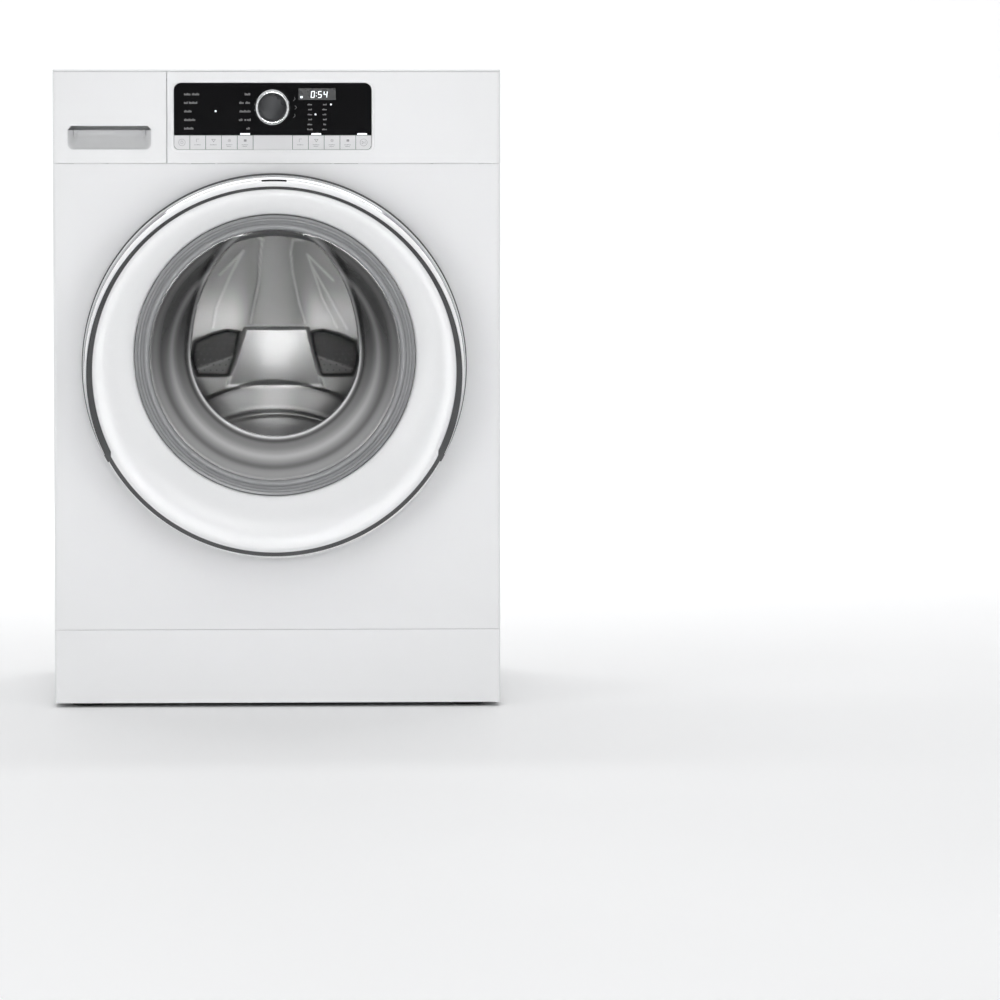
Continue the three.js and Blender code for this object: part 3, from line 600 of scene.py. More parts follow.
def white_edge(angle):
    """Outer radius of the white ring: the well's circle above, the rim's line below, a step between."""
    end = on_circle(-TRIM_END, WELL_R, WELL_Z)
    if sin(angle) > sin(-TRIM_END) - 0.012:
        return on_circle(angle, WELL_R, WELL_Z)
    return min(DOOR_R - LINE_WIDTH, end * cos(TRIM_END) / max(abs(cos(angle)), 0.01))


def white_ring():
    """The door's white face: a shallow dish between the window and the trim's groove."""
    crest, inner_y, lip = DOOR_FRONT + 1.2, DOOR_FRONT + 17.5, 5.0
    wall = 2.5
    verts = []
    for i in range(STEPS):
        a = tau * i / STEPS
        start = Vector((GLASS_X + (WINDOW_R + 0.6) * cos(a), GLASS_Z + (WINDOW_R + 0.6) * sin(a)))
        out = atan2(start.y - DOOR_Z, start.x - DOOR_X)
        reach = white_edge(out)
        end = Vector((DOOR_X + reach * cos(out), DOOR_Z + reach * sin(out)))
        run = end - start
        face = run.length - lip
        line = [(0.0, inner_y + wall), (0.0, inner_y + 0.8), (0.5, inner_y)]
        for k in range(1, 19):
            t = k / 18
            line.append((t * face, inner_y + (crest - inner_y) * (1 - (1 - t) ** 2.3)))
        for k in range(1, 7):
            turn = pi / 2 * k / 6
            line.append((face + lip * sin(turn), crest + lip * (1 - cos(turn))))
        line += [(face + lip, CARRIER_FRONT - 0.2), (face + lip - wall, CARRIER_FRONT - 0.2),
                 (face + lip - wall, crest + lip + wall)]
        for k in (12, 8, 4):
            t = k / 18
            line.append((t * face, inner_y + wall + (crest - inner_y) * (1 - (1 - t) ** 2.3)))
        for along, y in line:
            point = start + run * (along / run.length)
            verts.append((point.x, y, point.y))
    faces = grid_faces(STEPS, len(line), True, True)
    piece("door_white_ring", verts, faces, "white", "door_outer_ring", sharp=50)


def rim_carrier():
    """The dark rim behind the white ring: groove floor, edge line and back of the door's rim. Its dark grey is
    partly the part's own colour and partly painted shade for the deep groove.
    """
    back_r = DOOR_R - 24
    profile = [(216, CARRIER_FRONT), (DOOR_R - 1.2, CARRIER_FRONT), (DOOR_R - 0.3, CARRIER_FRONT + 0.4),
               (DOOR_R, CARRIER_FRONT + 1.4), (DOOR_R, RIM_REAR - 6), (DOOR_R - 1, RIM_REAR - 2.5),
               (DOOR_R - 3.5, RIM_REAR - 0.4), (DOOR_R - 6, RIM_REAR), (back_r, RIM_REAR),
               (back_r, RIM_REAR - 2.7), (DOOR_R - 7, RIM_REAR - 2.7),
               (DOOR_R - 7, CARRIER_FRONT + 3), (216, CARRIER_FRONT + 3)]
    verts, faces = revolve(profile, (DOOR_X, DOOR_Z), STEPS)
    carrier = piece("door_rim_carrier", verts, faces, "carrier", "door_outer_ring")
    low, high = box_ends("door_hinge_bracket")
    room = 2.5
    carve(carrier, block(low.x - room, high.x, RIM_REAR - 9, RIM_REAR + room, low.z - room, high.z + room))
    smooth(carrier, 38, 0)


def trim_loft(name, material, section):
    """Sweeps a section round the crescent. section gives [distance in from the outer edge, y] points."""
    seat = CARRIER_FRONT - 0.3
    count = 200
    sweep = pi + 2 * TRIM_END
    verts = []
    for i in range(count + 1):
        a = -TRIM_END + sweep * i / count
        outer_r = DOOR_R - (1.3 + 1.2 * max(0.0, sin(a)))
        width = outer_r - on_circle(a, TRIM_R, TRIM_Z)
        end_gap = min(i, count - i) / count * sweep * DOOR_R
        tuck = 2.2 * (1 - sqrt(max(0.0, 1 - (1 - min(1.0, end_gap / 3)) ** 2)))
        line = section(width, seat)
        for along, y in line:
            r = outer_r - along
            verts.append((DOOR_X + r * cos(a), min(seat, y + tuck), DOOR_Z + r * sin(a)))
    columns = len(line)
    faces = grid_faces(count + 1, columns, False, True) + end_caps(count + 1, columns)
    piece(name, verts, faces, material, "door_chrome_trim", sharp=40)


def chrome_trim():
    """A crescent round the top of the door, widest in the middle: a polished outer flank and a whiter, less
    metallic band whose colour paints the reflection of the lights.
    """
    crest = DOOR_FRONT + 0.3

    def flank(width, seat):
        split = width * 0.40
        line = [(0.0, seat), (0.0, crest + 6.0)]
        line += [(split * ease(t), crest + 6.0 * (1 - t) ** 1.7) for t in (0.25, 0.5, 0.75, 0.92)]
        return line + [(split - 0.2, crest + 0.1), (split - 0.1, crest + 0.6), (split - 0.1, seat)]

    def band(width, seat):
        start = width * 0.40 + 0.1
        run = width - start
        line = [(start, seat), (start, crest + 0.6), (start + 0.3, crest + 0.05)]
        line += [(start + run * t, crest + 2.6 * t ** 2.4) for t in (0.2, 0.45, 0.7, 0.88)]
        return line + [(width - 0.2, crest + 2.8), (width, crest + 3.4), (width, seat)]

    trim_loft("door_chrome_flank", "chrome", flank)
    trim_loft("door_chrome_band", "satin_painted_reflection", band)


def trim_slot():
    """A black strip that paints the shade of the short slit in the middle of the crescent."""
    half, radius, height = 16.5, 246.2, 2.6
    turn = degrees(half / radius)
    outline = arc(DOOR_X, DOOR_Z, radius + height / 2, 90 + turn, 90 - turn, 12)
    outline += arc(DOOR_X, DOOR_Z, radius - height / 2, 90 - turn, 90 + turn, 12)
    verts, faces = slab([outline], "front", DOOR_FRONT + 0.05, DOOR_FRONT + 3, 0.02)
    piece("door_trim_slit", verts, faces, "slit_shade", "door_chrome_trim")


def edge_lip():
    """The fine light edge round the lower part of the rim, between the two ends of the crescent."""
    count, radius = 120, DOOR_R - 1.1
    start = pi + TRIM_END + radians(2.5)
    sweep = pi - 2 * TRIM_END - radians(5)
    verts = []
    for i in range(count + 1):
        a = start + sweep * i / count
        for k in range(10):
            turn = tau * k / 10
            r = radius + 1.0 * cos(turn)
            verts.append((DOOR_X + r * cos(a), CARRIER_FRONT + 0.4 + 1.2 * sin(turn), DOOR_Z + r * sin(a)))
    faces = grid_faces(count + 1, 10, False, True) + end_caps(count + 1, 10)
    piece("door_edge_lip", verts, faces, "white", "door_outer_ring")


def bead(radius, y, size, first=0, last=180, steps=10):
    """Points over a rounded ridge in a turned profile, from its outer side to its inner side."""
    return arc(radius, y, size, -first, -last, steps)


def bezel():
    """The grey ring that holds the glass: a fine ridge, a broad rounded ring, and a sleeve behind."""
    rear = FRAME[1][1]
    front = DOOR_FRONT + 14.0
    profile = [(186.2, rear - 3), (186.2, front + 0.8), (185.4, front), (182.4, front + 0.4)]
    profile += bead(180.2, front + 1.0, 1.8)
    profile += [(177.6, front + 2.2), (176.4, front + 2.6)]
    profile += bead(171.0, front + 5.2, 4.4, 25, 168, 16)
    profile += [(166.8, front + 6.2), (167.0, DOOR_FRONT + 25.6),
                (172.4, DOOR_FRONT + 25.6), (172.4, DOOR_FRONT + 31.4),
                (168.0, DOOR_FRONT + 31.4), (168.0, rear), (175.5, rear)]
    verts, faces = revolve(profile, (GLASS_X, GLASS_Z), STEPS)
    piece("door_bezel", verts, faces, "bezel", "door_inner_frame", sharp=30)


def door_back():
    """The grey plate behind the glass, its rim wall, hinge knuckle, latch cheeks and screws."""
    rear = FRAME[1][1]
    plate_r = DOOR_R - 24.3
    window = circle_outline(GLASS_X, GLASS_Z, OPENING_R, 128)
    slot = box_outline(LATCH_X - 9, LATCH_X + 5, DOOR_Z - 6.4, DOOR_Z + 6.4, 1)
    plate = slab([circle_outline(DOOR_X, DOOR_Z, plate_r, 160), window, slot], "front", rear - 3, rear, 0.6)
    wall = revolve([(plate_r, rear - 14), (plate_r, rear - 2), (plate_r - 2.7, rear - 2),
                    (plate_r - 2.7, rear - 14)], (DOOR_X, DOOR_Z), 160)
    rib = revolve([(196, rear - 0.4), (197, rear + 0.3), (199, rear + 0.3),
                   (200, rear - 0.4)], (GLASS_X, GLASS_Z), 160)
    cheeks = [block(LATCH_X - 5, LATCH_X + 5, latch_front() - 4, rear - 1, z0, z0 + 4.6)
              for z0 in (DOOR_Z - 11, DOOR_Z + 6.4)]
    piece("door_back_frame", *merge(plate, wall, rib, *cheeks), "bezel", "door_inner_frame")
    hinge_x, hinge_y = HINGE
    knuckle = tube(hinge_x, hinge_y, DOOR_Z - 18, DOOR_Z + 18, 3.9)
    leaf = block(hinge_x + 2, hinge_x + 25, hinge_y - 3, hinge_y + 1, DOOR_Z - 17.5, DOOR_Z + 17.5)
    piece("door_hinge_knuckle", *merge(knuckle, leaf), "zinc", "door_inner_frame", edge=0.4)
    heads = []
    for k in range(10):
        a = tau * (k + 0.5) / 10
        heads.append(screw_head(GLASS_X + 206 * cos(a), rear, DOOR_Z + 206 * sin(a), 3.6, 1))
    piece("door_screws", *merge(*heads), "zinc", "door_inner_frame")


def latch_front():
    """Y of the latch pin."""
    return box_ends("door_latch_hook")[0].y + 3


def screw_head(x, y, z, radius, facing, steps=20):
    """A low domed screw head with a cross recess rim. facing is 1 when it looks along +Y, -1 for -Y."""
    dome = [(0.0, 0.5), (0.28, 0.5), (0.34, 0.95), (0.62, 0.9), (0.88, 0.6), (1.0, 0.2),
            (1.0, -0.3), (0.0, -0.3)]
    profile = [(radius * r, y + facing * radius * 0.42 * rise) for r, rise in dome]
    return revolve(profile, (x, z), steps, False)


BOWL_RIM = 165.0
BOWL_END = 115.0


def fold_radius(z):
    """Radius of the fold between the bowl's wall and its end face. It opens towards the top."""
    return BOWL_END + 51 * max(0.0, (z - 15) / 145) ** 1.65


def bowl_depth(x, z):
    """How far the glass reaches back from its rim: a cone closed by an end face that slopes up to the top."""
    r = hypot(x, z)
    fold = fold_radius(z)
    cone = 2 * (BOWL_RIM - r)
    cone += 1.8 * ease((136.5 - r) / 2.5) + 1.4 * ease((153.5 - r) / 2.5)
    end = 2 * (BOWL_RIM - fold) + 9 * max(0.0, 1 - (r / fold) ** 2)
    return max(1.5, smooth_min(cone, end, 3))


def bowl_tone(x, z):
    """The glass's grey and cover. The cover keeps the end face clear and the wall more opaque; the grey is
    painted light: a dark wall, painted highlight rings that stand for refraction, lighter towards the bottom.
    """
    r = hypot(x, z)
    out = r - fold_radius(z)
    # low: the lower part of the glass, where the painted light is stronger.
    low = ease(0.35 - 0.75 * z / max(r, 1))
    wall = ease((out + 2.5) / 2.5)
    tone = 0.09 + 0.38 * low
    # Painted highlight on the fold with a painted dark line just outside it, painted highlight rings at radius
    # 138 and 160, and a painted dark line at 151.
    tone += (0.20 + 0.60 * low) * bump(out, 1.8)
    tone -= (0.08 + 0.18 * low) * bump(out - 5, 2.2)
    tone += (0.20 + 0.22 * low) * bump(r - 138, 4 + 2 * low)
    tone += 0.10 * bump(r - 160, 5) - 0.16 * low * bump(r - 151, 3.5)
    return wall * max(0.02, tone), wall


def set_tone(obj, **values):
    """Keeps one number per vertex on the piece for its material to read."""
    for word, numbers in values.items():
        obj.data.attributes.new(word, "FLOAT", "POINT").data.foreach_set("value", numbers)


def door_glass():
    """One thick moulded bowl: an outer and an inner skin, joined round the rim."""
    face, thick = GLASS[1][0], 4.2
    columns = 288
    radii = [171 * (1 - (1 - k / 110) ** 1.15) for k in range(1, 111)]
    places = [(0.0, 0.0)]
    for r in radii:
        places += circle_outline(0.0, 0.0, r, columns)
    tones = [bowl_tone(u, v) for u, v in places]
    verts, faces = [], []
    for shift in (0.0, thick):
        start = len(verts)
        verts += [(GLASS_X + u, face + shift + bowl_depth(u, v), GLASS_Z + v) for u, v in places]
        faces += [(start, start + 1 + i, start + 1 + (i + 1) % columns) for i in range(columns)]
        faces += [tuple(start + 1 + k for k in quad) for quad in grid_faces(len(radii), columns, False, True)]
    rim_a, rim_b = len(places) - columns, 2 * len(places) - columns
    for i in range(columns):
        after = (i + 1) % columns
        faces.append((rim_a + i, rim_a + after, rim_b + after, rim_b + i))
    bowl = piece("door_glass_bowl", verts, faces, "glass", "door_glass", sharp=60)
    # Both skins keep the grey with its painted light, and the cover.
    set_tone(bowl, tone=[tone for tone, wall in tones] * 2, cover=[wall for tone, wall in tones] * 2)


# ---- Door seal -----------------------------------------------------------------
def gasket():
    """A rubber bellows: a lip round the cabinet's opening, two folds and a collar on the tub's mouth."""
    y = PANEL[1][0]
    lip = [(184, -0.3), (184.4, -1.6), (182, -2.9), (171, -3.1), (166, -1.6), (163.5, 2.5), (161.5, 9.5)]
    folds = [(158.5, 14.5), (157.2, 19.5), (157.8, 25.5), (160, 30), (162.6, 34), (164, 41), (161, 47.5)]
    collar = [(158, 53), (156.6, 59), (157.6, 63.4), (160, 63), (160.6, 58), (163.5, 54), (169.4, 52)]
    outside = [(169.4, 45), (167.8, 38), (166.6, 31.5), (162.6, 26), (160.2, 20.5), (161.8, 16),
               (167, 13.5), (173, 10.5), (173.6, 6), (173.6, 0.4), (176.5, -0.3)]
    points = [(r, y + back) for r, back in lip + folds + collar + outside]
    verts, faces = revolve(soften(points, 4, 4), (GLASS_X, GLASS_Z), 224)
    piece("gasket_bellows", verts, faces, "gasket", "door_gasket", sharp=70)
    # Three dark discs paint the shade of the drain holes low in the bellows.
    spots = [(GLASS_X + 159 * sin(turn), GLASS_Z - 159 * cos(turn)) for turn in (-0.16, 0.0, 0.16)]
    drain_shade_discs = [disc(spot, 3.2, y + 28.5, y + 29.2, 20) for spot in spots]
    piece("gasket_drain_hole_shade", *merge(*drain_shade_discs), "dark", "door_gasket")


# ---- Drum ----------------------------------------------------------------------
def edge_distance(x, z, outline):
    """Distance in from a closed outline's edge: positive inside it, negative outside."""
    nearest = 1e9
    inside = False
    for i, (x1, z1) in enumerate(outline):
        x0, z0 = outline[i - 1]
        run_x, run_z = x1 - x0, z1 - z0
        t = max(0.0, min(1.0, ((x - x0) * run_x + (z - z0) * run_z) / (run_x ** 2 + run_z ** 2)))
        nearest = min(nearest, hypot(x - x0 - t * run_x, z - z0 - t * run_z))
        if (z0 > z) != (z1 > z) and x < x0 + run_x * (z - z0) / run_z:
            inside = not inside
    return nearest if inside else -nearest


DRUM_R = 240
DRUM_BACK = DRUM[1][1]
DRUM_FRONT = DRUM[1][0] + 5
HUB = [(-42, 22), (46, 22), (63, -45), (67, -60), (-67, -60), (-63, -45)]
POCKET = [(48, 17), (67, 20), (90, 14), (114, 3), (119, -22), (110, -46), (64, -46), (55, -20)]
RIDGES = [
    [(-25, 150), (-17, 145), (-20, 130), (-22, 88), (-30, 50), (-34, 29)],
    [(38, 145), (25, 145), (22, 130), (25, 99), (34, 57), (42, 29)],
    [(-77, 96), (-44, 130), (-62, 96), (-82, 50), (-87, 22)],
    [(82, 88), (46, 124), (66, 64), (87, 22)],
    [(52, 108), (76, 66), (101, 20)],
]


def mirrored(outline):
    return [(-x, z) for x, z in reversed(outline)]


def line_distance(x, z, points):
    """Distance to an open line through points."""
    nearest = 1e9
    for (x0, z0), (x1, z1) in zip(points, points[1:]):
        run_x, run_z = x1 - x0, z1 - z0
        t = max(0.0, min(1.0, ((x - x0) * run_x + (z - z0) * run_z) / (run_x ** 2 + run_z ** 2)))
        nearest = min(nearest, hypot(x - x0 - t * run_x, z - z0 - t * run_z))
    return nearest


def back_wall_shape(x, z):
    """Height towards the door in millimetres, and the steel's tone with painted light, at a place on the
    drum's pressed back.
    """
    r, side = hypot(x, z), abs(x)
    height = 6.0 * ease((232 - r) / 14)
    # Painted highlight over the upper flanks, and a painted dark line beside the column.
    tone = 0.27 + 0.34 * bump(z - 35, 36) * ease((side - 32) / 30) - 0.05 * bump(side - 31, 14)
    inside_hub = edge_distance(x, z, HUB)
    dome = ease((inside_hub + 1) / 3.5)
    height += dome * (1.0 + 4.0 * (1 - (x / 85) ** 2 - ((z - 30) / 90) ** 2))
    # Painted highlight over the hub, brightest near its middle, and along its edge.
    tone += dome * (0.40 + 0.65 * bump(hypot(x - 4, z - 4), 36)) + 0.5 * bump(inside_hub - 0.7, 3)
    pocket = max(ease((edge_distance(x, z, outline) + 1) / 5) for outline in (POCKET, mirrored(POCKET)))
    height -= 2.6 * pocket
    facet_top = -17 - 0.36 * (side - 55)
    # Painted shade: dark pockets, lighter on the lower facet, with a painted highlight line along the facet's
    # top.
    pocket_tone = 0.010 + 0.070 * ease((facet_top - z) / 3) + 0.12 * bump(z - facet_top, 1.8)
    tone = tone * (1 - pocket) + pocket * pocket_tone
    ridge = max(bump(line_distance(x, z, points), 1.6) for points in RIDGES)
    height += 0.35 * ridge
    # Painted highlight along each ridge.
    tone += 0.26 * ridge
    if z < -46:
        arc = z + 52 + 26 * (x / 102) ** 2
        step = ease(-arc / 4)
        height -= 1.6 * step * ease((arc + 46) / 8) + dome * step
        # Under the hub: painted shade over the step, painted highlight and dark lines along the arc and the
        # line below it, lighter in the middle and below the line.
        tone -= 0.30 * dome * step
        tone += 0.10 * bump(arc, 2.2) - 0.12 * bump(arc + 5, 4) + 0.22 * step * bump(x, 34) + 0.08 * step
        line = z + 98 + 9.5 * (x / 62) ** 2
        height += 1.6 * bump(line, 2.6)
        tone += 0.20 * bump(line, 3.2) + 0.12 * bump(line - 10, 1.8) - 0.12 * bump(line - 5.5, 2.4)
        tone += 0.24 * ease(-line / 6)
    return height, max(0.012, tone)


def back_wall_height(x, z):
    return back_wall_shape(x, z)[0]


def back_wall():
    """The pressed back of the drum: hub dome, ridges, two pockets and the curved bands under the hub."""
    rings, columns = 118, 288
    shapes = [(0.0, 0.0, *back_wall_shape(0, 0))]
    for k in range(1, rings + 1):
        r = 236.0 * (k / rings) ** 1.05
        for i in range(columns):
            a = tau * i / columns
            x, z = r * cos(a), r * sin(a)
            shapes.append((x, z, *back_wall_shape(x, z)))
    verts = [(GLASS_X + x, DRUM_BACK - 2 - height, GLASS_Z + z) for x, z, height, tone in shapes]
    faces = [(0, 1 + i, 1 + (i + 1) % columns) for i in range(columns)]
    faces += [tuple(1 + k for k in face) for face in grid_faces(rings, columns, False, True)]
    wall = piece("drum_back_wall", verts, faces, "pressed", "wash_drum", sharp=80)
    # The tone kept here is the steel's grey with painted highlights and shade.
    set_tone(wall, tone=[tone for x, z, height, tone in shapes])


def back_wall_hole_shade():
    """Dark discs that paint the shade seen in small drain holes over the two pockets and the outer band of the
    back wall.
    """
    holes = []
    pitch = 8.6
    for row in range(-25, 26):
        for column in range(-25, 26):
            x = (column + 0.5 * (row % 2)) * pitch
            z = row * pitch * 0.87
            in_pocket = max(edge_distance(x, z, POCKET), edge_distance(x, z, mirrored(POCKET))) > 3
            in_band = 150 < hypot(x, z) < 226
            if not (in_pocket or in_band):
                continue
            radius = 1.3 if in_pocket else 1.5
            y = DRUM_BACK - (2 + back_wall_height(x, z) + 0.35)
            centre = (GLASS_X + x, GLASS_Z + z)
            holes.append(disc(centre, radius, y, y + 0.9, 8))
    piece("drum_back_hole_shade", *merge(*holes), "dark", "wash_drum")


CELL = [(-0.5, -0.5), (0, -0.5), (0.5, -0.5), (0.5, 0), (0.5, 0.5), (0, 0.5), (-0.5, 0.5), (-0.5, 0)]


def perforated_wall():
    """The drum's round wall, with rows of real eight-sided holes."""
    around, rows = 96, 21
    hole = 2.4
    start, end = DRUM_FRONT + 14, DRUM_BACK - 12
    pitch_y = (end - start) / rows
    pitch_a = tau / around
    verts, faces = [], []
    for row in range(rows):
        for k in range(around):
            a0 = (k + 0.5 * (row % 2)) * pitch_a
            y0 = start + row * pitch_y
            base = len(verts)
            places = [(a0 + u * pitch_a, y0 + (v + 0.5) * pitch_y) for u, v in CELL]
            for u, v in CELL:
                turn = atan2(v, u)
                places.append((a0 + hole * cos(turn) / DRUM_R, y0 + 0.5 * pitch_y + hole * sin(turn)))
            verts += [(GLASS_X + DRUM_R * cos(a), y, GLASS_Z + DRUM_R * sin(a)) for a, y in places]
            faces += [(base + i, base + (i + 1) % 8, base + 8 + (i + 1) % 8, base + 8 + i) for i in range(8)]
    wall = piece("drum_perforated_wall", verts, faces, "steel", "wash_drum", sharp=60)
    sheet = wall.modifiers.new("sheet", "SOLIDIFY")
    sheet.thickness = 0.8 * MM
    sheet.offset = -1


def drum_ends():
    """The rolled hem at the back and the front ring down to the drum's mouth."""
    mouth = 158
    r = DRUM_R
    front, back = DRUM_FRONT, DRUM_BACK
    ring = [(mouth, front - 5), (mouth + 1.5, front - 5), (mouth + 4, front - 1),
            (mouth + 12, front), (mouth + 40, front + 2), (mouth + 48, front - 0.5),
            (r - 8, front), (r - 2, front + 2), (r, front + 8), (r, front + 14),
            (r - 1, front + 14), (r - 1, front + 8), (r - 3, front + 3.5),
            (r - 8, front + 1.2), (mouth + 48, front + 0.8), (mouth + 40, front + 3.2),
            (mouth + 12, front + 1.2), (mouth + 3, front + 0.4)]
    hem = [(r - 1, back - 12), (r, back - 12), (r, back - 4), (r - 4, back),
           (r - 12, back), (r - 12, back - 1.2), (r - 4.5, back - 1.2), (r - 1.2, back - 4.5)]
    parts = [revolve(profile, (GLASS_X, GLASS_Z), 224) for profile in (ring, hem)]
    piece("drum_ends", *merge(*parts), "steel", "wash_drum", sharp=45)


def lifter(index):
    """A hollow-looking wave lifter: a rounded ridge."""
    low, high = box_ends("drum_lifter_1")
    foot_r = 235.0
    turn = tau * index / 3
    rows = 24
    flank = [(26, 0), (25, 3), (20, 12), (14, 26), (9, 43), (5, 49.5)]
    section = [(-u, rise) for u, rise in flank] + [(0, 51.5)] + flank[::-1]
    verts = []
    for k in range(rows + 1):
        t = k / rows
        y = low.y + (high.y - low.y) * t
        fade = sqrt(max(0.0, 1 - abs(2 * t - 1) ** 5))
        wave = 3.0 * sin(tau * t * 1.5) * fade
        for u, rise in section:
            side, height = u + wave * rise / 52, foot_r - rise * max(fade, 0.02)
            x, z = side * cos(turn) + height * sin(turn), side * sin(turn) - height * cos(turn)
            verts.append((GLASS_X + x, y, GLASS_Z + z))
    columns = len(section)
    faces = grid_faces(rows + 1, columns, False, True) + end_caps(rows + 1, columns)
    node = f"drum_lifter_{(-index) % 3 + 1}"
    bar = piece(f"lifter_{index + 1}", verts, faces, "tray", node, sharp=60)
    rounding = bar.modifiers.new("rounding", "SUBSURF")
    rounding.levels = rounding.render_levels = 1


# ---- Drawer, control panel and keys --------------------------------------------
KEY_NAMES = ["key_power"] + [f"key_option_{n}" for n in range(1, 9)] + ["key_start"]
KEYS = [span(name) for name in KEY_NAMES]
KNOB_X = middle(KNOB[0])
KNOB_Z = middle(KNOB[2])
WRAP_BACK = PANEL[1][1]


def shell_front(x0, x1, z0, z1, left_round, right_round, holes=(), wall=2.5):
    """A front skin with holes, its wrapped-back sides and its roof and floor, as verts and faces."""
    def edge(radius):
        return max(radius, 0.6)
    flat = box_outline(x0 + edge(left_round) * 0.999, x1 - edge(right_round) * 0.999, z0, z1, 0.5, 2)
    skin = slab([flat, *holes], "front", FRONT, FRONT + wall, 0.5)
    walls = []
    for x, side, radius in ((x0, 1, edge(left_round)), (x1, -1, edge(right_round))):
        plan = arc(x + side * radius, FRONT + radius, radius, -90, -90 - side * 90, 6)
        plan += [(x, WRAP_BACK), (x + side * wall, WRAP_BACK), (x + side * wall, FRONT + radius + wall),
                 (x + side * (radius + wall), FRONT + wall)]
        walls.append(slab([plan], "top", z0, z1, 0.3))
    inner0, inner1 = x0 + wall, x1 - wall
    floor = block(inner0, inner1, FRONT + 1, WRAP_BACK, z0 + 0.3, z0 + wall)
    roof = block(inner0, inner1, FRONT + 1, WRAP_BACK, z1 - wall, z1 - 0.3)
    return merge(skin, *walls, floor, roof)


HANDLE_X = (DRAWER[0][0] + 19.5, DRAWER[0][1] - 20.2)
HANDLE_Z = (744.6, 776.4)
SLIT_Z = HANDLE_Z[1] - 5.6


def handle_outline(grow=0.0):
    """The grip opening: round lower corners and slanted upper ones."""
    x1 = HANDLE_X[1]
    z0, z1 = HANDLE_Z
    slant = 5
    drop = 5.6
    radius = 8
    half = arc(x1 - radius, z0 + radius, radius, -90, 0, 8) + [(x1, z1 - drop), (x1 - slant, z1)]
    centre = middle(HANDLE_X)
    outline = half + [(2 * centre - x, z) for x, z in reversed(half)]
    return grown(outline, grow) if grow else outline


def grown(outline, by):
    """An outline that runs anticlockwise, moved out by a distance along the line that halves each corner."""
    result = []
    for i, (x, z) in enumerate(outline):
        before, after = Vector(outline[i - 1]), Vector(outline[(i + 1) % len(outline)])
        run = (after - before).normalized()
        result.append((x + run.y * by, z - run.x * by))
    return result


def drawer_front():
    x0, x1 = DRAWER[0]
    z0, z1 = DRAWER[2]
    parts = shell_front(x0, x1, z0, z1, 4, 0.5, [handle_outline()])
    piece("drawer_front_skin", *parts, "white", "drawer_front", sharp=30)
    rim = slab([handle_outline(0.9), handle_outline(-0.3)], "front", FRONT - 0.25, FRONT + 2, 0.3, 3)
    piece("handle_rim", *rim, "white", "drawer_front", sharp=50)


def handle_half_width(z):
    """Half the opening's width at a height."""
    half, low, radius = (HANDLE_X[1] - HANDLE_X[0]) / 2, HANDLE_Z[0], 8
    if z >= low + radius:
        return half
    return half - radius + sqrt(max(0.0, radius ** 2 - (low + radius - z) ** 2))


def handle_scoop():
    """The grip's dish, which deepens upwards from the opening's foot and stops short of its top."""
    columns, rows = 61, 25
    centre, deep = middle(HANDLE_X), 15
    verts = []
    for i in range(rows):
        t = i / (rows - 1)
        z = HANDLE_Z[0] + (SLIT_Z - HANDLE_Z[0]) * t
        half = handle_half_width(z)
        for k in range(columns):
            u = -1 + 2 * k / (columns - 1)
            from_side = half * (1 - abs(u))
            depth = deep * sin(pi / 2 * min(1.0, t * 1.25)) ** 0.7 * ease(from_side / 13) ** 0.8
            verts.append((centre + half * u, FRONT + 0.6 + depth, z))
    faces = grid_faces(rows, columns, False, False)
    # The dish's grey paints the shade inside the grip.
    dish = piece("handle_dish", verts, faces, "scoop_painted_shade", "drawer_front", sharp=80)
    wall = dish.modifiers.new("wall", "SOLIDIFY")
    wall.thickness = 1.4 * MM
    wall.offset = -1
    x0, x1 = HANDLE_X[0] - 1, HANDLE_X[1] + 1
    back, roof = FRONT + 25, 790
    room = [block(x0, x1, back, back + 1.5, HANDLE_Z[0], roof)]
    room.append(block(x0, x1, FRONT + 2.5, back, roof, roof + 1.5))
    room += [block(x, x + 1.5, FRONT + 2.5, back, HANDLE_Z[0], roof) for x in (x0 - 1.5, x1)]
    # The pocket's mid grey paints the shade deep in the grip.
    piece("handle_pocket", *merge(*room), "pocket", "drawer_front")
    ribs = [block(x, x + 0.9, FRONT + 9, FRONT + 17, SLIT_Z - 9, SLIT_Z + 0.4)
            for x in (HANDLE_X[0] + 9, HANDLE_X[1] - 10)]
    piece("handle_ribs", *merge(*ribs), "white", "drawer_front", edge=0.2)


def fascia_opening():
    """One opening for the display window and both groups of keys under it."""
    x0, x1 = WINDOW[0][0] - 0.3, WINDOW[0][1] + 0.3
    z0, z1 = KEYS[0][2][0] - 0.3, WINDOW[2][1] + 0.3
    top, low = 9.8, 6.5
    points = arc(x1 - low, z0 + low, low, -90, 0, 8)
    points += arc(x1 - top, z1 - top, top, 0, 90, 8)
    points += arc(x0 + top, z1 - top, top, 90, 180, 8)
    return points + arc(x0 + low, z0 + low, low, 180, 270, 8)


def control_fascia():
    x0, x1 = FASCIA[0]
    z0, z1 = FASCIA[2]
    opening = fascia_opening()
    parts = shell_front(x0, x1, z0, z1, 0.5, 4, [opening])
    piece("fascia_skin", *parts, "white", "control_fascia", sharp=30)
    rim = slab([grown(opening, 3.6), opening], "front", FRONT - 0.55, FRONT + 1, 0.5, 3)
    piece("fascia_rim", *rim, "white", "control_fascia", sharp=50)
    left_end, right_start = KEYS[4][0][1] + 0.6, KEYS[5][0][0] - 0.6
    strip = slab([box_outline(left_end, right_start, KEYS[0][2][0] - 0.2, KEYS[0][2][1] + 0.2, 0.6, 3)],
                 "front", FRONT - 0.5, FRONT + 2, 0.4)
    piece("fascia_key_strip", *strip, "key", "control_fascia", sharp=50)


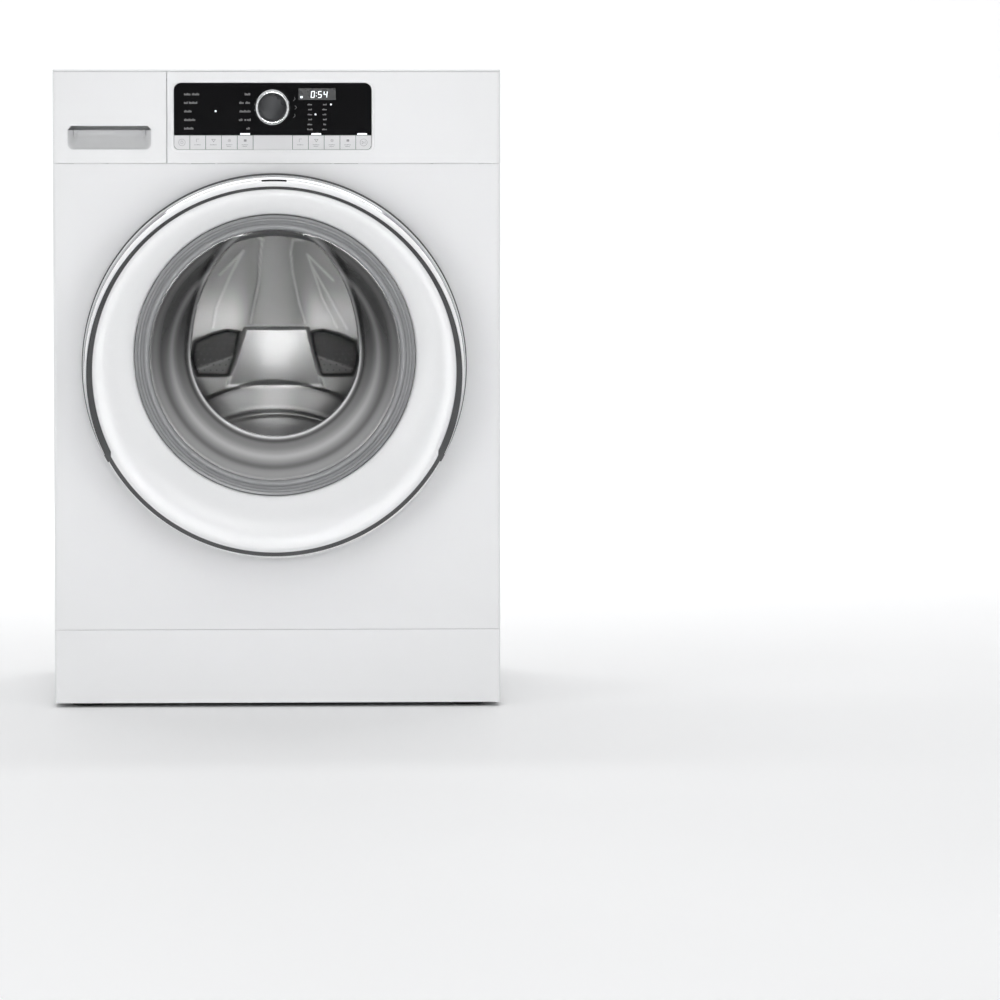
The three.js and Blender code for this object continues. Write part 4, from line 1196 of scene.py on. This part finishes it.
def display_window():
    x0, x1 = WINDOW[0]
    z0, z1 = WINDOW[2]
    y0, y1 = WINDOW[1]
    radius = 9.5
    outline = [(x0, z0 + 0.3), (x1, z0 + 0.3)]
    outline += arc(x1 - radius, z1 - radius, radius, 0, 90, 10)
    outline += arc(x0 + radius, z1 - radius, radius, 90, 180, 10)
    plate = slab([outline, circle_outline(KNOB_X, KNOB_Z, 5.5, 48)], "front", y0, y1, 0.4, 3)
    piece("display_glass", *plate, "black", "display_window", sharp=40)


# ---- Marks on the display and the keys --------------------------------------------
def film(loops, y, proud=0.07):
    """A printed film that stands a hair proud of the surface at y."""
    return slab(loops, "front", y - proud, y + 0.03, 0.01, 0)


def bar_at(x, z, width, height, y, radius=0.0):
    """A bar that starts at x and is centred on height z."""
    return film([box_outline(x, x + width, z - height / 2, z + height / 2, radius, 3)], y)


def dot_at(x, z, radius, y):
    return film([circle_outline(x, z, radius, 24)], y)


def ring_at(x, z, radius, line, y):
    return film([circle_outline(x, z, radius, 40), circle_outline(x, z, radius - line, 40)], y)


def stroke(points, width, y):
    """A thin line through points, as one film per stretch."""
    parts = []
    for (x0, z0), (x1, z1) in zip(points, points[1:]):
        run = Vector((x1 - x0, z1 - z0))
        side = Vector((-run.y, run.x)).normalized() * width / 2
        on = run.normalized() * width / 2
        corners = [(x0 - side.x - on.x, z0 - side.y - on.y), (x1 - side.x + on.x, z1 - side.y + on.y),
                   (x1 + side.x + on.x, z1 + side.y + on.y), (x0 + side.x - on.x, z0 + side.y - on.y)]
        parts.append(film([corners], y))
    return merge(*parts)


SEGMENTS = {
    "top": ((0, 2), (1, 2)),
    "high_left": ((0, 1), (0, 2)),
    "high_right": ((1, 1), (1, 2)),
    "middle": ((0, 1), (1, 1)),
    "low_left": ((0, 0), (0, 1)),
    "low_right": ((1, 0), (1, 1)),
    "foot": ((0, 0), (1, 0)),
}
DIGITS = {
    0: ("top", "high_left", "high_right", "low_left", "low_right", "foot"),
    4: ("high_left", "high_right", "middle", "low_right"),
    5: ("top", "high_left", "middle", "low_right", "foot"),
}


def digit(number, x, z, y):
    """A seven-segment figure whose lower left corner is at x, z."""
    wide, tall = 4.0, 4.1
    parts = []
    for name in DIGITS[number]:
        (u0, v0), (u1, v1) = SEGMENTS[name]
        lean = 0.10 * tall
        start = Vector((x + u0 * wide + v0 * lean, z + v0 * tall))
        end = Vector((x + u1 * wide + v1 * lean, z + v1 * tall))
        trim = (end - start).normalized() * 0.55
        parts.append(stroke([tuple(start + trim), tuple(end - trim)], 0.95, y))
    return merge(*parts)


PROGRAM_WORDS = (
    ((9, 11), (8,)),
    ((5, 12), (7, 7)),
    ((11,), (15,)),
    ((15,), (6, 2, 5)),
    ((13,), (6,)),
)
OPTION_WORDS = ((7, 5, 7, 5, 7, 8), (5, 7, 6, 5, 4, 7))
WORD_GAP = 1.4
OPTION_TOP = WINDOW[2][1] - 28.4
SCREEN = (WINDOW[0][1] - 97, WINDOW[2][1] - 7)


def word_row(x, z, words, y):
    """Tick words of these lengths side by side, starting at x."""
    parts = []
    for word in words:
        parts.append(letters(x, z, word, y))
        x += word + WORD_GAP
    return parts


def program_marks(y):
    """The rows of tick words on both sides of the knob, the right-hand ones set to end at one line."""
    parts = []
    for row, (left_words, right_words) in enumerate(PROGRAM_WORDS):
        z = KNOB_Z + 17.7 - row * 11.33
        parts += word_row(WINDOW[0][0] + 13.5, z, left_words, y)
        width = sum(right_words) + (len(right_words) - 1) * WORD_GAP
        parts += word_row(WINDOW[0][0] + 102.1 - width, z, right_words, y)
    return parts


def option_marks(y):
    """Two columns of short tick words under the timer, each centred on its column."""
    parts = []
    for words, inset in zip(OPTION_WORDS, (85.5, 65.9)):
        for row, width in enumerate(words):
            x = WINDOW[0][1] - inset + (8 - width) / 2
            parts.append(letters(x, OPTION_TOP - row * 6.6, width, y, 2.2))
    return parts


def knob_marks(y):
    """Three small arrow strokes to the right of the knob."""
    parts = []
    for turn in (-0.36, 0.0, 0.36):
        x, z = KNOB_X + 31.5 * cos(turn), KNOB_Z + 31.5 * sin(turn)
        last_x = x if turn else x - 1.6
        parts.append(stroke([(x - 1.6, z - 2.4), (x + 0.9, z), (last_x, z + 2.4)], 0.5, y))
    return parts


def timer_marks(y):
    """The timer's three lit figures, its colon and a small lit lock sign beside them."""
    x, z = SCREEN[0] + 16.6, SCREEN[1] - 12.3
    parts = [digit(number, x + shift, z, y) for number, shift in ((0, 0.0), (5, 9.3), (4, 16.8))]
    parts += [dot_at(x + 7.1, z + rise, 0.6, y) for rise in (2.2, 6.2)]
    return parts + [bar_at(SCREEN[0] + 2.4, z + 0.6, 3.2, 2.6, y, 0.5)]


def lamp_marks(y):
    """The lit dots beside the chosen words, and the lit bars over three of the keys."""
    left, right = WINDOW[0]
    dots = [(left + 55.4, KNOB_Z - 5), (right - 54, OPTION_TOP), (right - 74.5, OPTION_TOP - 13.2)]
    parts = [dot_at(x, z, 1.15, y) for x, z in dots]
    for index, inward in ((4, 0), (6, 0), (9, 2)):
        x = middle(KEYS[index][0]) - inward - 6.5
        parts.append(bar_at(x, WINDOW[2][0] + 1.3, 13, 2.2, y, 0.9))
    return parts


def display_marks():
    """Generic tick words, the timer's screen and everything that is lit."""
    y = WINDOW[1][0]
    words = program_marks(y) + option_marks(y) + knob_marks(y)
    piece("display_print", *merge(*words), "print", "display_window")
    x, z = SCREEN
    screen = film([box_outline(x, x + 49.5, z - 15.5, z, 0.8, 3)], y, 0.03)
    piece("display_screen", *screen, "screen", "display_window")
    lit = timer_marks(y) + lamp_marks(y)
    piece("display_lights", *merge(*lit), "glow", "display_window")


def letters(x, z, width, y, height=3.3):
    """A word-shaped row of small upright ticks that spell nothing."""
    count = max(2, int(width / 1.25))
    parts = []
    for k in range(count):
        tall = (height, height * 0.66, height * 0.66, height * 0.8)[(k * 7 + int(width * 3)) % 4]
        start = x + k * 1.25
        parts.append(film([box_outline(start, start + 0.85, z - height / 2, z + tall - height / 2)], y))
    return merge(*parts)


def key_symbol(index, x, z, y):
    """A small generic sign for each key: rings on the end keys, simple shapes over ticks on the rest."""
    thin = 0.45
    if index == 0:
        return merge(ring_at(x, z, 4.6, thin, y), ring_at(x, z, 1.9, thin, y),
                     stroke([(x, z + 1.2), (x, z + 3.0)], thin, y))
    if index == 9:
        return merge(ring_at(x, z, 4.9, thin, y), stroke([(x - 2, z + 2), (x + 0.6, z), (x - 2, z - 2),
                                                               (x - 2, z + 2)], thin, y),
                     stroke([(x + 1.9, z + 2), (x + 1.9, z - 2)], thin, y))
    sign_z = z + 2.6
    kind = index % 4
    if kind == 1:
        sign = stroke([(x - 1.6, sign_z - 2), (x - 1.6, sign_z + 2), (x + 1.8, sign_z + 2)], thin, y)
    elif kind == 2:
        sign = stroke([(x - 2.4, sign_z + 1.6), (x, sign_z - 1.8), (x + 2.4, sign_z + 1.6),
                       (x - 2.4, sign_z + 1.6)], 0.6, y)
    elif kind == 3:
        sign = merge(ring_at(x, sign_z, 1.9, thin, y), dot_at(x, sign_z, 0.6, y))
    else:
        sign = film([box_outline(x - 1.8, x + 1.8, sign_z - 1.5, sign_z + 1.5, 0.5, 3)], y)
    lines = [letters(x - 4.5, z - 3.0, 9, y, 1.1)]
    if index in (3, 4, 6, 7, 8):
        lines.append(letters(x - 3.5, z - 5.2, 7, y, 1.1))
    return merge(sign, *lines)


def control_keys():
    """Ten separate key caps with plungers behind. The end caps have a rounded outer corner."""
    for index, (name, (xs, ys, zs)) in enumerate(zip(KEY_NAMES, KEYS)):
        x0, x1 = xs
        z0, z1 = zs
        radius = 6.2
        outline = box_outline(x0, x1, z0, z1)
        if index == 0:
            outline = outline[1:] + arc(x0 + radius, z0 + radius, radius, 180, 270, 8)
        if index == 9:
            outline = outline[:1] + arc(x1 - radius, z0 + radius, radius, -90, 0, 8) + outline[2:]
        cap = slab([outline], "front", ys[0], ys[0] + 3.3, 0.35, 3)
        centre_x, centre_z = middle(xs), middle(zs)
        stem = block(centre_x - 3, centre_x + 3, ys[0] + 3, ys[1], centre_z - 3, centre_z + 3)
        piece(name + "_cap", *merge(cap, stem), "key", name, sharp=40)
        piece(name + "_sign", *key_symbol(index, centre_x, centre_z, ys[0]), "key_print", name)


def program_knob():
    """A chrome collar with a dark dished face, a fine step between them, and the shaft behind."""
    y = KNOB[1][0]
    base = WINDOW[1][0] - 0.6
    r = (KNOB[0][1] - KNOB[0][0]) / 2
    collar = [(18.6, y + 3.4), (18.9, y + 1.2), (19.4, y + 0.3), (20.2, y), (21.2, y + 0.3),
              (22.6, y + 1.9), (23.6, y + 4.4), (r - 0.4, y + 8.0), (r, y + 11.0), (r, base - 0.8),
              (r - 0.8, base), (18.6, base)]
    piece("knob_collar", *revolve(collar, (KNOB_X, KNOB_Z), 160), "chrome", "program_knob", sharp=60)
    face = [(0.0, y + 2.0), (9.0, y + 1.8), (15.5, y + 1.2), (16.6, y + 1.0), (17.0, y + 1.7),
            (17.5, y + 1.7), (17.8, y + 1.1), (18.5, y + 1.3), (18.7, y + 3.0), (18.7, base),
            (4.4, base), (4.4, KNOB[1][1]), (0.0, KNOB[1][1])]
    piece("knob_face", *revolve(face, (KNOB_X, KNOB_Z), 128, False), "knob_face", "program_knob", sharp=50)
    tick_outline = box_outline(KNOB_X - 0.5, KNOB_X + 0.5, KNOB_Z + 11.6, KNOB_Z + 15.2, 0.4, 3)
    tick = film([tick_outline], y + 1.6, 0.25)
    piece("knob_tick", *tick, "screen", "program_knob")


# ---- Cabinet ---------------------------------------------------------------------
SHEET = 1.2
BACK = REAR[1][1]
BACK_LIMIT = span("rear_access_cover")[1][1]


def front_panel():
    z0, z1 = PANEL[2]
    hole = circle_outline(GLASS_X, GLASS_Z, OPENING_R, 144)
    slot = box_outline(LATCH_X - 12, LATCH_X + 14, DOOR_Z - 10, DOOR_Z + 10, 2, 4)
    parts = shell_front(LEFT, RIGHT, z0, z1, 4, 4, [hole, slot], SHEET)
    lip_r = OPENING_R + SHEET
    lip = revolve([(OPENING_R, FRONT + 0.6), (lip_r, FRONT + 0.6), (lip_r, WRAP_BACK - 2),
                   (OPENING_R, WRAP_BACK - 2)], (GLASS_X, GLASS_Z), 144)
    piece("front_panel_skin", *merge(parts, lip), "enamel", "front_panel", sharp=30)


def kick_plate():
    z0, z1 = span("kick_plate")[2]
    parts = shell_front(LEFT, RIGHT, z0, z1, 4, 4)
    piece("kick_plate_skin", *parts, "white", "kick_plate", sharp=30)


def worktop():
    """A moulded frame with a laminate board let into it, and a shadow groove between them."""
    x0, x1 = WORKTOP[0]
    y0, y1 = WORKTOP[1]
    z0, z1 = WORKTOP[2]
    outline = soften([(x0, y0), (x1, y0), (x1, y1), (x0, y1)], 5, 6)
    margin, groove = 17, 1.4
    opening = box_outline(x0 + margin, x1 - margin, y0 + 24, y1 - margin, 6)
    rim = slab([outline, opening], "top", FASCIA[2][1] + 0.3, z1, 1.0, 3)
    floor = block(x0 + 10, x1 - 10, WRAP_BACK + 5, y1 - 8, z0 + 8, z1 - 3.2)
    rails = [slab([box_outline(a, b, WRAP_BACK + 4.2, y1 - 12.5, 1, 2)], "top", z0, FASCIA[2][1] + 1.2, 0.5)
             for a, b in ((x0, x0 + 13), (x1 - 13, x1))]
    rails.append(slab([box_outline(x0, x1, y1 - 13, y1, 1, 2)], "top", z0, FASCIA[2][1] + 1.2, 0.5))
    piece("worktop_frame", *merge(rim, floor, *rails), "white", "top_panel", sharp=35)
    inset = box_outline(x0 + margin + groove, x1 - margin - groove, y0 + 24 + groove, y1 - margin - groove, 5)
    board = slab([inset], "top", z1 - 3.0, z1 - 0.25, 0.5, 3)
    piece("worktop_board", *board, "worktop", "top_panel", sharp=35)


def pressed_depth(u, v, width, height):
    """How far in a side panel's wide shallow recess is pressed. u and v run from its corner."""
    margin_u, margin_v, slope, corner = 62, 70, 14, 40
    from_u = abs(u - width / 2) - (width / 2 - margin_u - corner)
    from_v = abs(v - height / 2) - (height / 2 - margin_v - corner)
    outside = hypot(max(from_u, 0), max(from_v, 0)) + min(max(from_u, from_v), 0) - corner
    depth = 3.2 * ease(-outside / slope)
    swage = abs(v - height * 0.5)
    if -outside > 40:
        depth -= 2.2 * ease((9 - swage) / 6) * ease((-outside - 40) / 20)
    return depth


def side_panel(word, side):
    """A steel side with a wide pressed recess, a stiffening swage across it, and flanges front and back."""
    name = "side_panel_" + word
    xs, _, (z0, z1) = span(name)
    outer = xs[1] if side > 0 else xs[0]
    y0, y1 = WRAP_BACK + 0.3, BACK - 1.5
    rows, columns = 190, 150
    verts = []
    for i in range(rows):
        for k in range(columns):
            y = y0 + (y1 - y0) * k / (columns - 1)
            z = z0 + (z1 - z0) * i / (rows - 1)
            verts.append((outer - side * pressed_depth(y - y0, z - z0, y1 - y0, z1 - z0), y, z))
    faces = grid_faces(rows, columns, False, False)
    if side < 0:
        faces = [tuple(reversed(face)) for face in faces]
    mesh_name = f"side_{word}_skin"
    skin = piece(mesh_name, verts, faces, "enamel", name, sharp=40)
    sheet = skin.modifiers.new("sheet", "SOLIDIFY")
    sheet.thickness = SHEET * MM
    sheet.offset = -1
    lips = []
    inner = outer - side * 9
    for y in (y0, y1 - SHEET):
        low, high = sorted((outer - side * SHEET, inner))
        lips.append(block(low, high, y, y + SHEET, z0, z1))
    reach = side * 208
    spring_y, hanger_z = middle(span("suspension_spring_" + word)[1]), 808
    low, high = sorted((outer - side * 1.0, reach))
    lips.append(block(low, high, spring_y - 14, spring_y + 14, hanger_z, hanger_z + 8))
    piece(f"side_{word}_flanges", *merge(*lips), "zinc", name, edge=0.3)


def rear_panel():
    """The back sheet with its service opening, pressed ribs, screws and transit bolt caps."""
    x0, x1 = REAR[0]
    z0, z1 = REAR[2]
    inlet_z = 790
    holes = [circle_outline(GLASS_X, GLASS_Z, 150, 96), circle_outline(230, inlet_z, 12, 32)]
    holes += [circle_outline(x, inlet_z, 15, 32) for x in INLET_X]
    plate = slab([box_outline(x0, x1, z0, z1, 3), *holes], "front", BACK - SHEET, BACK, 0.3)
    ribs = []
    for z, half in ((90, 180), (120, 180), (715, 200), (740, 200)):
        ribs.append(slab([box_outline(-half, half, z - 6, z + 6, 5.9)], "front", BACK - 0.5,
                         BACK + 2.4, 1.6, 3))
    for x in (-250, -225, 225, 250):
        ribs.append(slab([box_outline(x - 6, x + 6, 170, 660, 5.9)], "front", BACK - 0.5,
                         BACK + 2.4, 1.6, 3))
    piece("rear_sheet", *merge(plate, *ribs), "enamel", "rear_panel", sharp=35)
    caps = []
    for x in (-192, 192):
        for z in (235, 690):
            cap = [(0, BACK + 3.2), (11, BACK + 3), (14.5, BACK + 1.6), (15, BACK - 0.2), (0, BACK - 0.2)]
            caps.append(revolve(cap, (x, z), 40, False))
            caps.append(block(x - 7, x + 7, BACK + 2.6, BACK + 4.0, z - 1, z + 1))
    piece("transit_bolt_caps", *merge(*caps), "tray", "rear_panel", sharp=50)
    screws = []
    for z in (45, 200, 420, 640, 812):
        screws += [screw_head(x, BACK, z, 4.2, 1) for x in (x0 + 10, x1 - 10)]
    screws += [screw_head(x, BACK, 816, 4.2, 1) for x in (-90, 0, 90)]
    screws += [screw_head(x, BACK, 40, 4.2, 1) for x in (-140, 0, 140)]
    piece("rear_screws", *merge(*screws), "zinc", "rear_panel", sharp=50)


def access_cover():
    """The dished round cover over the belt drive, with two pressed rings and six screws."""
    y = BACK + 0.3
    crown = BACK_LIMIT
    outer = [(0.0, crown - 2.5), (24, crown - 2.5), (30, crown - 0.2), (86, crown), (92, crown - 2.2),
             (100, crown - 2.2), (106, crown), (146, crown - 0.3), (151, crown - 2.5),
             (156.5, y + 2.2), (158.5, y + SHEET), (170.5, y + SHEET), (172, y + 0.6), (172, y),
             (157.0, y), (150.0, crown - 4.5), (0.0, crown - 4.5)]
    shell = revolve(outer, (GLASS_X, GLASS_Z), 192, False)
    piece("access_cover_dish", *shell, "enamel", "rear_access_cover", sharp=35)
    screws = [screw_head(GLASS_X + 164.5 * cos(a), y + SHEET, GLASS_Z + 164.5 * sin(a), 4.0, 1)
              for a in (tau * (k + 0.5) / 6 for k in range(6))]
    piece("access_cover_screws", *merge(*screws), "zinc", "rear_access_cover", sharp=50)


def inlets_and_gland():
    """Two threaded water inlets on the valve body, and the power cord's rubber gland."""
    valve = box_ends("inlet_valve")
    limit = valve[1].y
    z = middle(span("inlet_valve")[2])
    for index, x in enumerate(INLET_X):
        profile = [(8.2, limit - 38), (13, limit - 38), (13, BACK + 1)]
        for turn in range(4):
            y = BACK + 1.5 + turn * 1.9
            profile += [(12.9, y), (11.9, y + 0.95)]
        profile += [(12.6, limit - 0.9), (11.8, limit), (9.2, limit), (8.2, limit - 0.8)]
        piece(f"inlet_thread_{index + 1}", *revolve(profile, (x, z), 56), "tray", "inlet_valve", sharp=35)
        screen = [(0, limit - 20), (8.1, limit - 20), (8.1, limit - 18.6), (3.5, limit - 17),
                  (0, limit - 16.6)]
        piece(f"inlet_filter_{index + 1}", *revolve(screen, (x, z), 32, False), "dark", "inlet_valve")
    back = limit - 16
    body = slab([box_outline(-265, -165, z - 20, z + 20, 4)], "front", valve[0].y, back, 2, 3)
    coils = [tube(x, valve[0].y + 22, z - 20, z + 20, 10) for x in (-230, -200)]
    piece("inlet_valve_body", *merge(body, *coils), "dark", "inlet_valve", sharp=35)
    low, high = box_ends("cord_gland")
    y = low.y
    gland = [(4.5, y + 3), (11.5, y), (11.5, BACK + 0.1), (16, BACK + 0.3), (16.2, BACK + 1.6),
             (14.5, BACK + 3), (11.0, BACK + 3.6), (10.4, BACK + 4.6), (9.6, BACK + 4.6),
             (9.2, BACK + 6.0), (8.0, high.y), (4.5, high.y)]
    centre = (low + high) / 2
    piece("gland_boot", *revolve(gland, (centre.x, centre.z), 64), "dark", "cord_gland", sharp=35)


def foot(name):
    """A levelling foot: a ribbed rubber pad and a threaded stem."""
    low, high = box_ends(name)
    x, y = (low.x + high.x) / 2, (low.y + high.y) / 2
    r = (high.x - low.x) / 2
    pad = [(0.0, 0.0), (r - 2, 0.0), (r, 1.2), (r, 2.4), (r - 1, 2.9), (r, 3.4), (r - 1.4, 5.2),
           (r - 6, 5.5), (0.0, 5.5)]
    stem = [(0.0, 5.0)]
    for turn in range(17):
        z = 5.4 + turn * 2.0
        stem += [(5.0, z), (4.3, z + 1.0)]
    stem.append((0.0, high.z))
    piece(name + "_pad", *revolve(pad, (x, y), 40, False, "top"), "dark", name, sharp=35)
    piece(name + "_stem", *revolve(stem, (x, y), 40, False, "top"), "zinc", name, sharp=35)


def drawer_tray():
    """The detergent tray: three wells with round corners, ribs, and a softener cap with its siphon."""
    x0, x1 = span("drawer_tray")[0]
    y0, y1 = span("drawer_tray")[1]
    z0, z1 = span("drawer_tray")[2]
    wall = 2
    wells = [(x0 + wall, -246), (-244, -200), (-198, x1 - wall)]
    loops = [box_outline(a, b, y0 + wall, y1 - wall, 7) for a, b in wells]
    outline = box_outline(x0, x1, y0, y1, 6)
    walls = slab([outline, *loops], "top", z0 + 2.5, z1, 0.8, 3)
    floor = slab([outline], "top", z0, z0 + 2.7, 0.8, 3)
    brim = [box_outline(x0 - 1, x1 + 1, y0, y1, 6), box_outline(x0 + 1, x1 - 1, y0 + 1, y1 - 1, 6)]
    flange = slab(brim,
                  "top", z1 - 2.4, z1, 0.6, 3)
    ribs = []
    for a, b in wells:
        for k in range(1, 6):
            y = y0 + (y1 - y0) * k / 6
            ribs.append(block(a, a + 1.6, y - 0.8, y + 0.8, z0 + 2, z1 - 14))
            ribs.append(block(b - 1.6, b, y - 0.8, y + 0.8, z0 + 2, z1 - 14))
    piece("tray_body", *merge(walls, floor, flange, *ribs), "tray", "drawer_tray", sharp=35)
    a, b = wells[1]
    lid = slab([box_outline(a + 0.6, b - 0.6, y1 - 96, y1 - 3, 6),
                circle_outline(middle((a, b)), y1 - 26, 8, 32)], "top", z1 - 9, z1 - 6.6, 0.8, 3)
    siphon = tube(middle((a, b)), y1 - 26, z0 + 3, z1 - 5, 5)
    dome = tube(middle((a, b)), y1 - 60, z1 - 7, z1 - 3, 13)
    piece("softener_cap", *merge(lid, siphon, dome), "cap", "drawer_tray", sharp=35)


# ---- CAD nodes that keep their shape ---------------------------------------------
KEPT = (
    ("zinc", 0.6, ("base_tray", "damper_rod_left", "damper_rod_right")),
    ("zinc", 0.5, ("door_hinge_bracket",)),
    ("zinc", 0.4, ("door_latch_hook", "motor_pulley")),
    ("zinc", 0.0, ("suspension_spring_left", "suspension_spring_right")),
    ("dark", 0.8, ("door_lock", "damper_cylinder_left", "damper_cylinder_right")),
    ("dark", 1.0, ("drain_pump",)),
    ("tub", 0.6, ("dispenser_housing",)),
    ("tub", 1.0, ("tub_front", "tub_rear")),
    ("iron", 3.0, ("counterweight_top", "counterweight_front")),
    ("alloy", 1.5, ("drum_spider",)),
    ("alloy", 1.2, ("drive_motor",)),
    ("alloy", 0.8, ("drum_pulley",)),
    ("steel", 0.4, ("bearing_cartridge",)),
    ("belt", 0.4, ("drive_belt",)),
    ("board", 0.3, ("control_board",)),
)


def dress_kept_nodes():
    """Procedural materials and rounded edges for the inner parts that stay as CAD made them."""
    for material, edge, name in ((m, e, name) for m, e, names in KEPT for name in names):
        node = frame["nodes"][name]
        node.data.materials.clear()
        node.data.materials.append(FINISH[material])
        if edge:
            bevel = node.modifiers.new("edges", "BEVEL")
            bevel.width = edge * MM
            bevel.segments = 2
            bevel.limit_method = "ANGLE"
            bevel.angle_limit = radians(35)


# ---- Build -------------------------------------------------------------------------
bpy.context.scene.view_settings.view_transform = "Standard"
make_camera()
make_lights()
make_world()
make_floor(FINISH["floor"])

DOOR = (white_ring, rim_carrier, chrome_trim, trim_slot, edge_lip, bezel, door_back, door_glass)
INSIDE = (gasket, back_wall, back_wall_hole_shade, perforated_wall, drum_ends)
CONTROLS = (drawer_front, handle_scoop, drawer_tray, control_fascia, display_window, display_marks,
            control_keys, program_knob)
for build in DOOR + INSIDE:
    build()
for lifter_index in range(3):
    lifter(lifter_index)
for build in CONTROLS + (front_panel, kick_plate, worktop):
    build()
side_panel("left", -1)
side_panel("right", 1)
for build in (rear_panel, access_cover, inlets_and_gland):
    build()
for corner in ("front_left", "front_right", "rear_left", "rear_right"):
    foot("foot_" + corner)
dress_kept_nodes()
